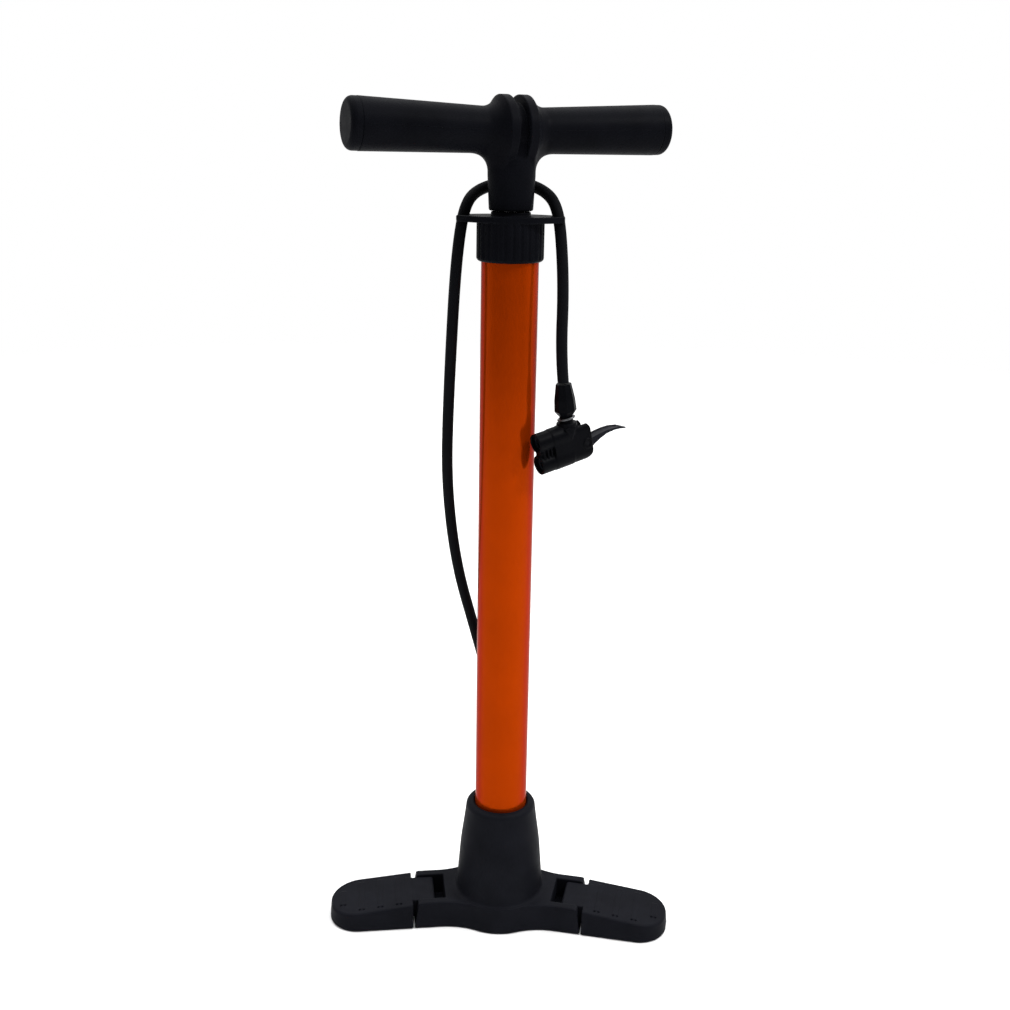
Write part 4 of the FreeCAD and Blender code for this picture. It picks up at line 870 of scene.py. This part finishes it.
def make_chuck(materials):
    """Valve head: two barrels, one above the other, that merge into flat cheeks, and its neck."""
    g = Grid(*CHUCK_GRID)
    height = np.abs(g.z)
    half_height = PITCH_HALF + MOUTH_RADIUS
    stadium = np.hypot(g.y, np.maximum(height - PITCH_HALF, 0)) - MOUTH_RADIUS
    barrels = disc(g.y, height, MOUTH_RADIUS, (0, PITCH_HALF))
    cheeks = block([stadium, slab(g.x, CHUCK_BACK, WAIST_BACK)], 0.6)
    cheeks = overlap(cheeks, block([CHUCK_BACK - g.x, height - half_height], CHUCK_BACK_ROUND))
    shape = join(cheeks, block([barrels, slab(g.x, -5, CHUCK_FRONT)], 0.5), 1.2)
    web = block([np.abs(g.y) - WEB_HALF_WIDTH, height - PITCH_HALF,
                 slab(g.x, 5, CHUCK_FRONT - 1)], 0.5)
    shape = join(shape, web, 1.0)
    for index in range(RIB_COUNT):
        near = RIB_START + RIB_PITCH * index
        rib = block([slab(g.x, near, near + RIB_WIDTH), np.abs(g.y) - RIB_HALF_WIDTH,
                     height - PITCH_HALF + 1], 0.3)
        shape = join(shape, rib, 0.4)
    slot = block([g.x - PIVOT_U - 6, np.abs(g.y) - LEVER_SLOT_HALF, LEVER_SLOT_FLOOR - g.z], 0.3)
    shape = cut(shape, slot, 0.5)
    ring = np.abs(np.hypot(g.x - PIVOT_U, g.z - PIVOT_W) - PIVOT_RING_RADIUS) - PIVOT_RING_HALF
    rim = block([ring, slab(np.abs(g.y), 5, MOUTH_RADIUS + 0.6)], 0.25)
    shape = join(shape, rim, 0.4)
    gusset = block([polygon(g.x, g.z, GUSSET), np.abs(g.y) - MOUTH_RADIUS - 0.4], 0.3)
    shape = join(shape, gusset, 0.5)
    collar, neck, nipple = make_stub(g)
    shape = join(join(join(shape, collar, 0.8), neck, 0.5), nipple)
    bores = disc(g.y, height, BORE_RADIUS, (0, PITCH_HALF)) + 0 * g.x
    shape = cut(shape, overlap(bores, BORE_START - g.x), 0.4)
    shape = cut(shape, disc(g.x, g.z, PIN_RADIUS + 0.02, (PIVOT_U, PIVOT_W)) + 0 * g.y)
    piece = mesh_object("valve_head_moulding", *skin(g, shape), chuck_place())
    return show(piece, "base", "chuck_body", "chuck_plastic", materials)


LEVER_GRID = ((-54, -5.6, -9.6), (-9.6, 5.6, 4.6), 0.25)
LEVER_HALF_WIDTH = 4.65
LEVER_UNDER = ((0, -5.4), (3, -5.6), (6.5, -3.2), (12, -0.8), (17.5, 1.0), (24, 1.4), (29, 0.6),
               (35.4, -1.5))
LEVER_TOP = ((35.8, -0.9), (30, 1.9), (24, 3.1), (18, 3.3), (12, 2.9), (7, 2.2), (0, 1.2))
LEVER_TIP = 35.8
LEVER_TAPER = 15.0
CAM_RADIUS = 5.5
DISH_DEPTH = 0.9
DISH_RIM = 1.1
DISH_SPAN = (4.5, 31)


def make_lever(materials):
    """Cam lever: an arched, leaf-shaped blade, dished along its upper face."""
    g = Grid(*LEVER_GRID)
    back = PIVOT_U - g.x
    rise = g.z - PIVOT_W
    side = polygon(back, rise, LEVER_UNDER + LEVER_TOP)
    tip = np.clip((LEVER_TIP - back) / LEVER_TAPER, 0.03, 1)
    wide = LEVER_HALF_WIDTH * np.sqrt(tip * (2 - tip))
    blade = block([side, np.abs(g.y) - wide], 0.4)
    stops, heights = zip(*reversed(LEVER_TOP))
    crest = np.interp(back.ravel(), stops, heights).reshape(back.shape)
    dish = overlap(crest - DISH_DEPTH - rise, np.abs(g.y) - wide + DISH_RIM, 0.5)
    shape = cut(blade, overlap(dish, slab(back, *DISH_SPAN)), 0.6)
    cam = block([disc(back, rise, CAM_RADIUS), np.abs(g.y) - LEVER_HALF_WIDTH], 0.4)
    shape = join(shape, cam, 0.8)
    shape = cut(shape, disc(back, rise, PIN_RADIUS + 0.06) + 0 * g.y)
    piece = mesh_object("lever_blade", *skin(g, shape), chuck_place())
    return show(piece, "lever", "chuck_lever", "lever_plastic", materials)


def make_snap_ring(materials):
    """Open wire ring round the neck, sitting a little crooked."""
    lean = Matrix.Rotation(-STUB_LEAN, 4, "Y")
    crooked = Matrix.Rotation(RING_TILT_X, 4, "X") @ Matrix.Rotation(RING_TILT_Y, 4, "Y")
    place = chuck_place() @ Matrix.Translation((STUB_U * MM, 0, 0)) @ lean
    points = []
    for angle in np.linspace(*RING_ENDS, 40):
        spot = crooked @ Vector((RING_RADIUS * math.cos(angle), RING_RADIUS * math.sin(angle), 0))
        spot.z += RING_HEIGHT
        points.append(place @ (spot * MM) / MM)
    ring = wire_object("snap_ring", points, RING_WIRE)
    ring.data.materials.append(materials["bright_metal"])
    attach(ring, "base")
    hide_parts("clip_ring")
    return ring


# ---------------------------------------------------------------- check valve

SPRING_RADIUS = 2.9
SPRING_WIRE = 0.35
SPRING_PITCH = 1.05
SPRING_HEIGHT = 4.0
SPRING_START = 25.5


def make_check_spring(materials):
    """Coil over the check ball, a wire mesh of its own on the base."""
    turns = SPRING_HEIGHT / SPRING_PITCH
    points = []
    for part in np.linspace(0, 1, 92):
        angle = 2 * math.pi * turns * part
        points.append((SPRING_RADIUS * math.cos(angle), OUTLET_Y + SPRING_RADIUS * math.sin(angle),
                       SPRING_START + SPRING_HEIGHT * part))
    wire = wire_object("check_spring_wire", points, SPRING_WIRE, rings=2)
    coil = bpy.data.objects.new("check_spring_coil", bpy.data.meshes.new_from_object(wire))
    bpy.context.scene.collection.objects.link(coil)
    bpy.data.objects.remove(wire)
    coil.data.shade_smooth()
    show(coil, "base", "check_spring", "steel", materials)
    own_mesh(coil)


# ---------------------------------------------------------------- hose

def make_hose(materials):
    """The hose on its route, a smooth curve of its real length."""
    curve = bpy.data.curves.new("rubber_hose", "CURVE")
    curve.dimensions = "3D"
    curve.resolution_u = 24
    curve.bevel_depth = HOSE_DIAMETER / 2 * MM
    curve.bevel_resolution = 8
    curve.use_fill_caps = True
    spline = curve.splines.new("NURBS")
    spline.points.add(len(HOSE_ROUTE) - 1)
    for point, place in zip(spline.points, HOSE_ROUTE):
        point.co = (place[0] * MM, place[1] * MM, place[2] * MM, 1)
    spline.order_u = 3
    spline.use_endpoint_u = True
    hose = bpy.data.objects.new("rubber_hose", curve)
    bpy.context.scene.collection.objects.link(hose)
    curve.materials.append(materials["hose_rubber"])
    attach(hose, "base")
    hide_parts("hose")


def main():
    make_camera()
    make_studio()
    materials = make_materials()
    paint_nodes(materials)
    make_foot_base(materials)
    make_foot("right_foot", 1, materials)
    make_foot("left_foot", -1, materials)
    make_top_cap(materials)
    make_handle(materials)
    valve_head = [make_chuck(materials), make_lever(materials), make_snap_ring(materials)]
    make_check_spring(materials)
    make_hose(materials)


main()
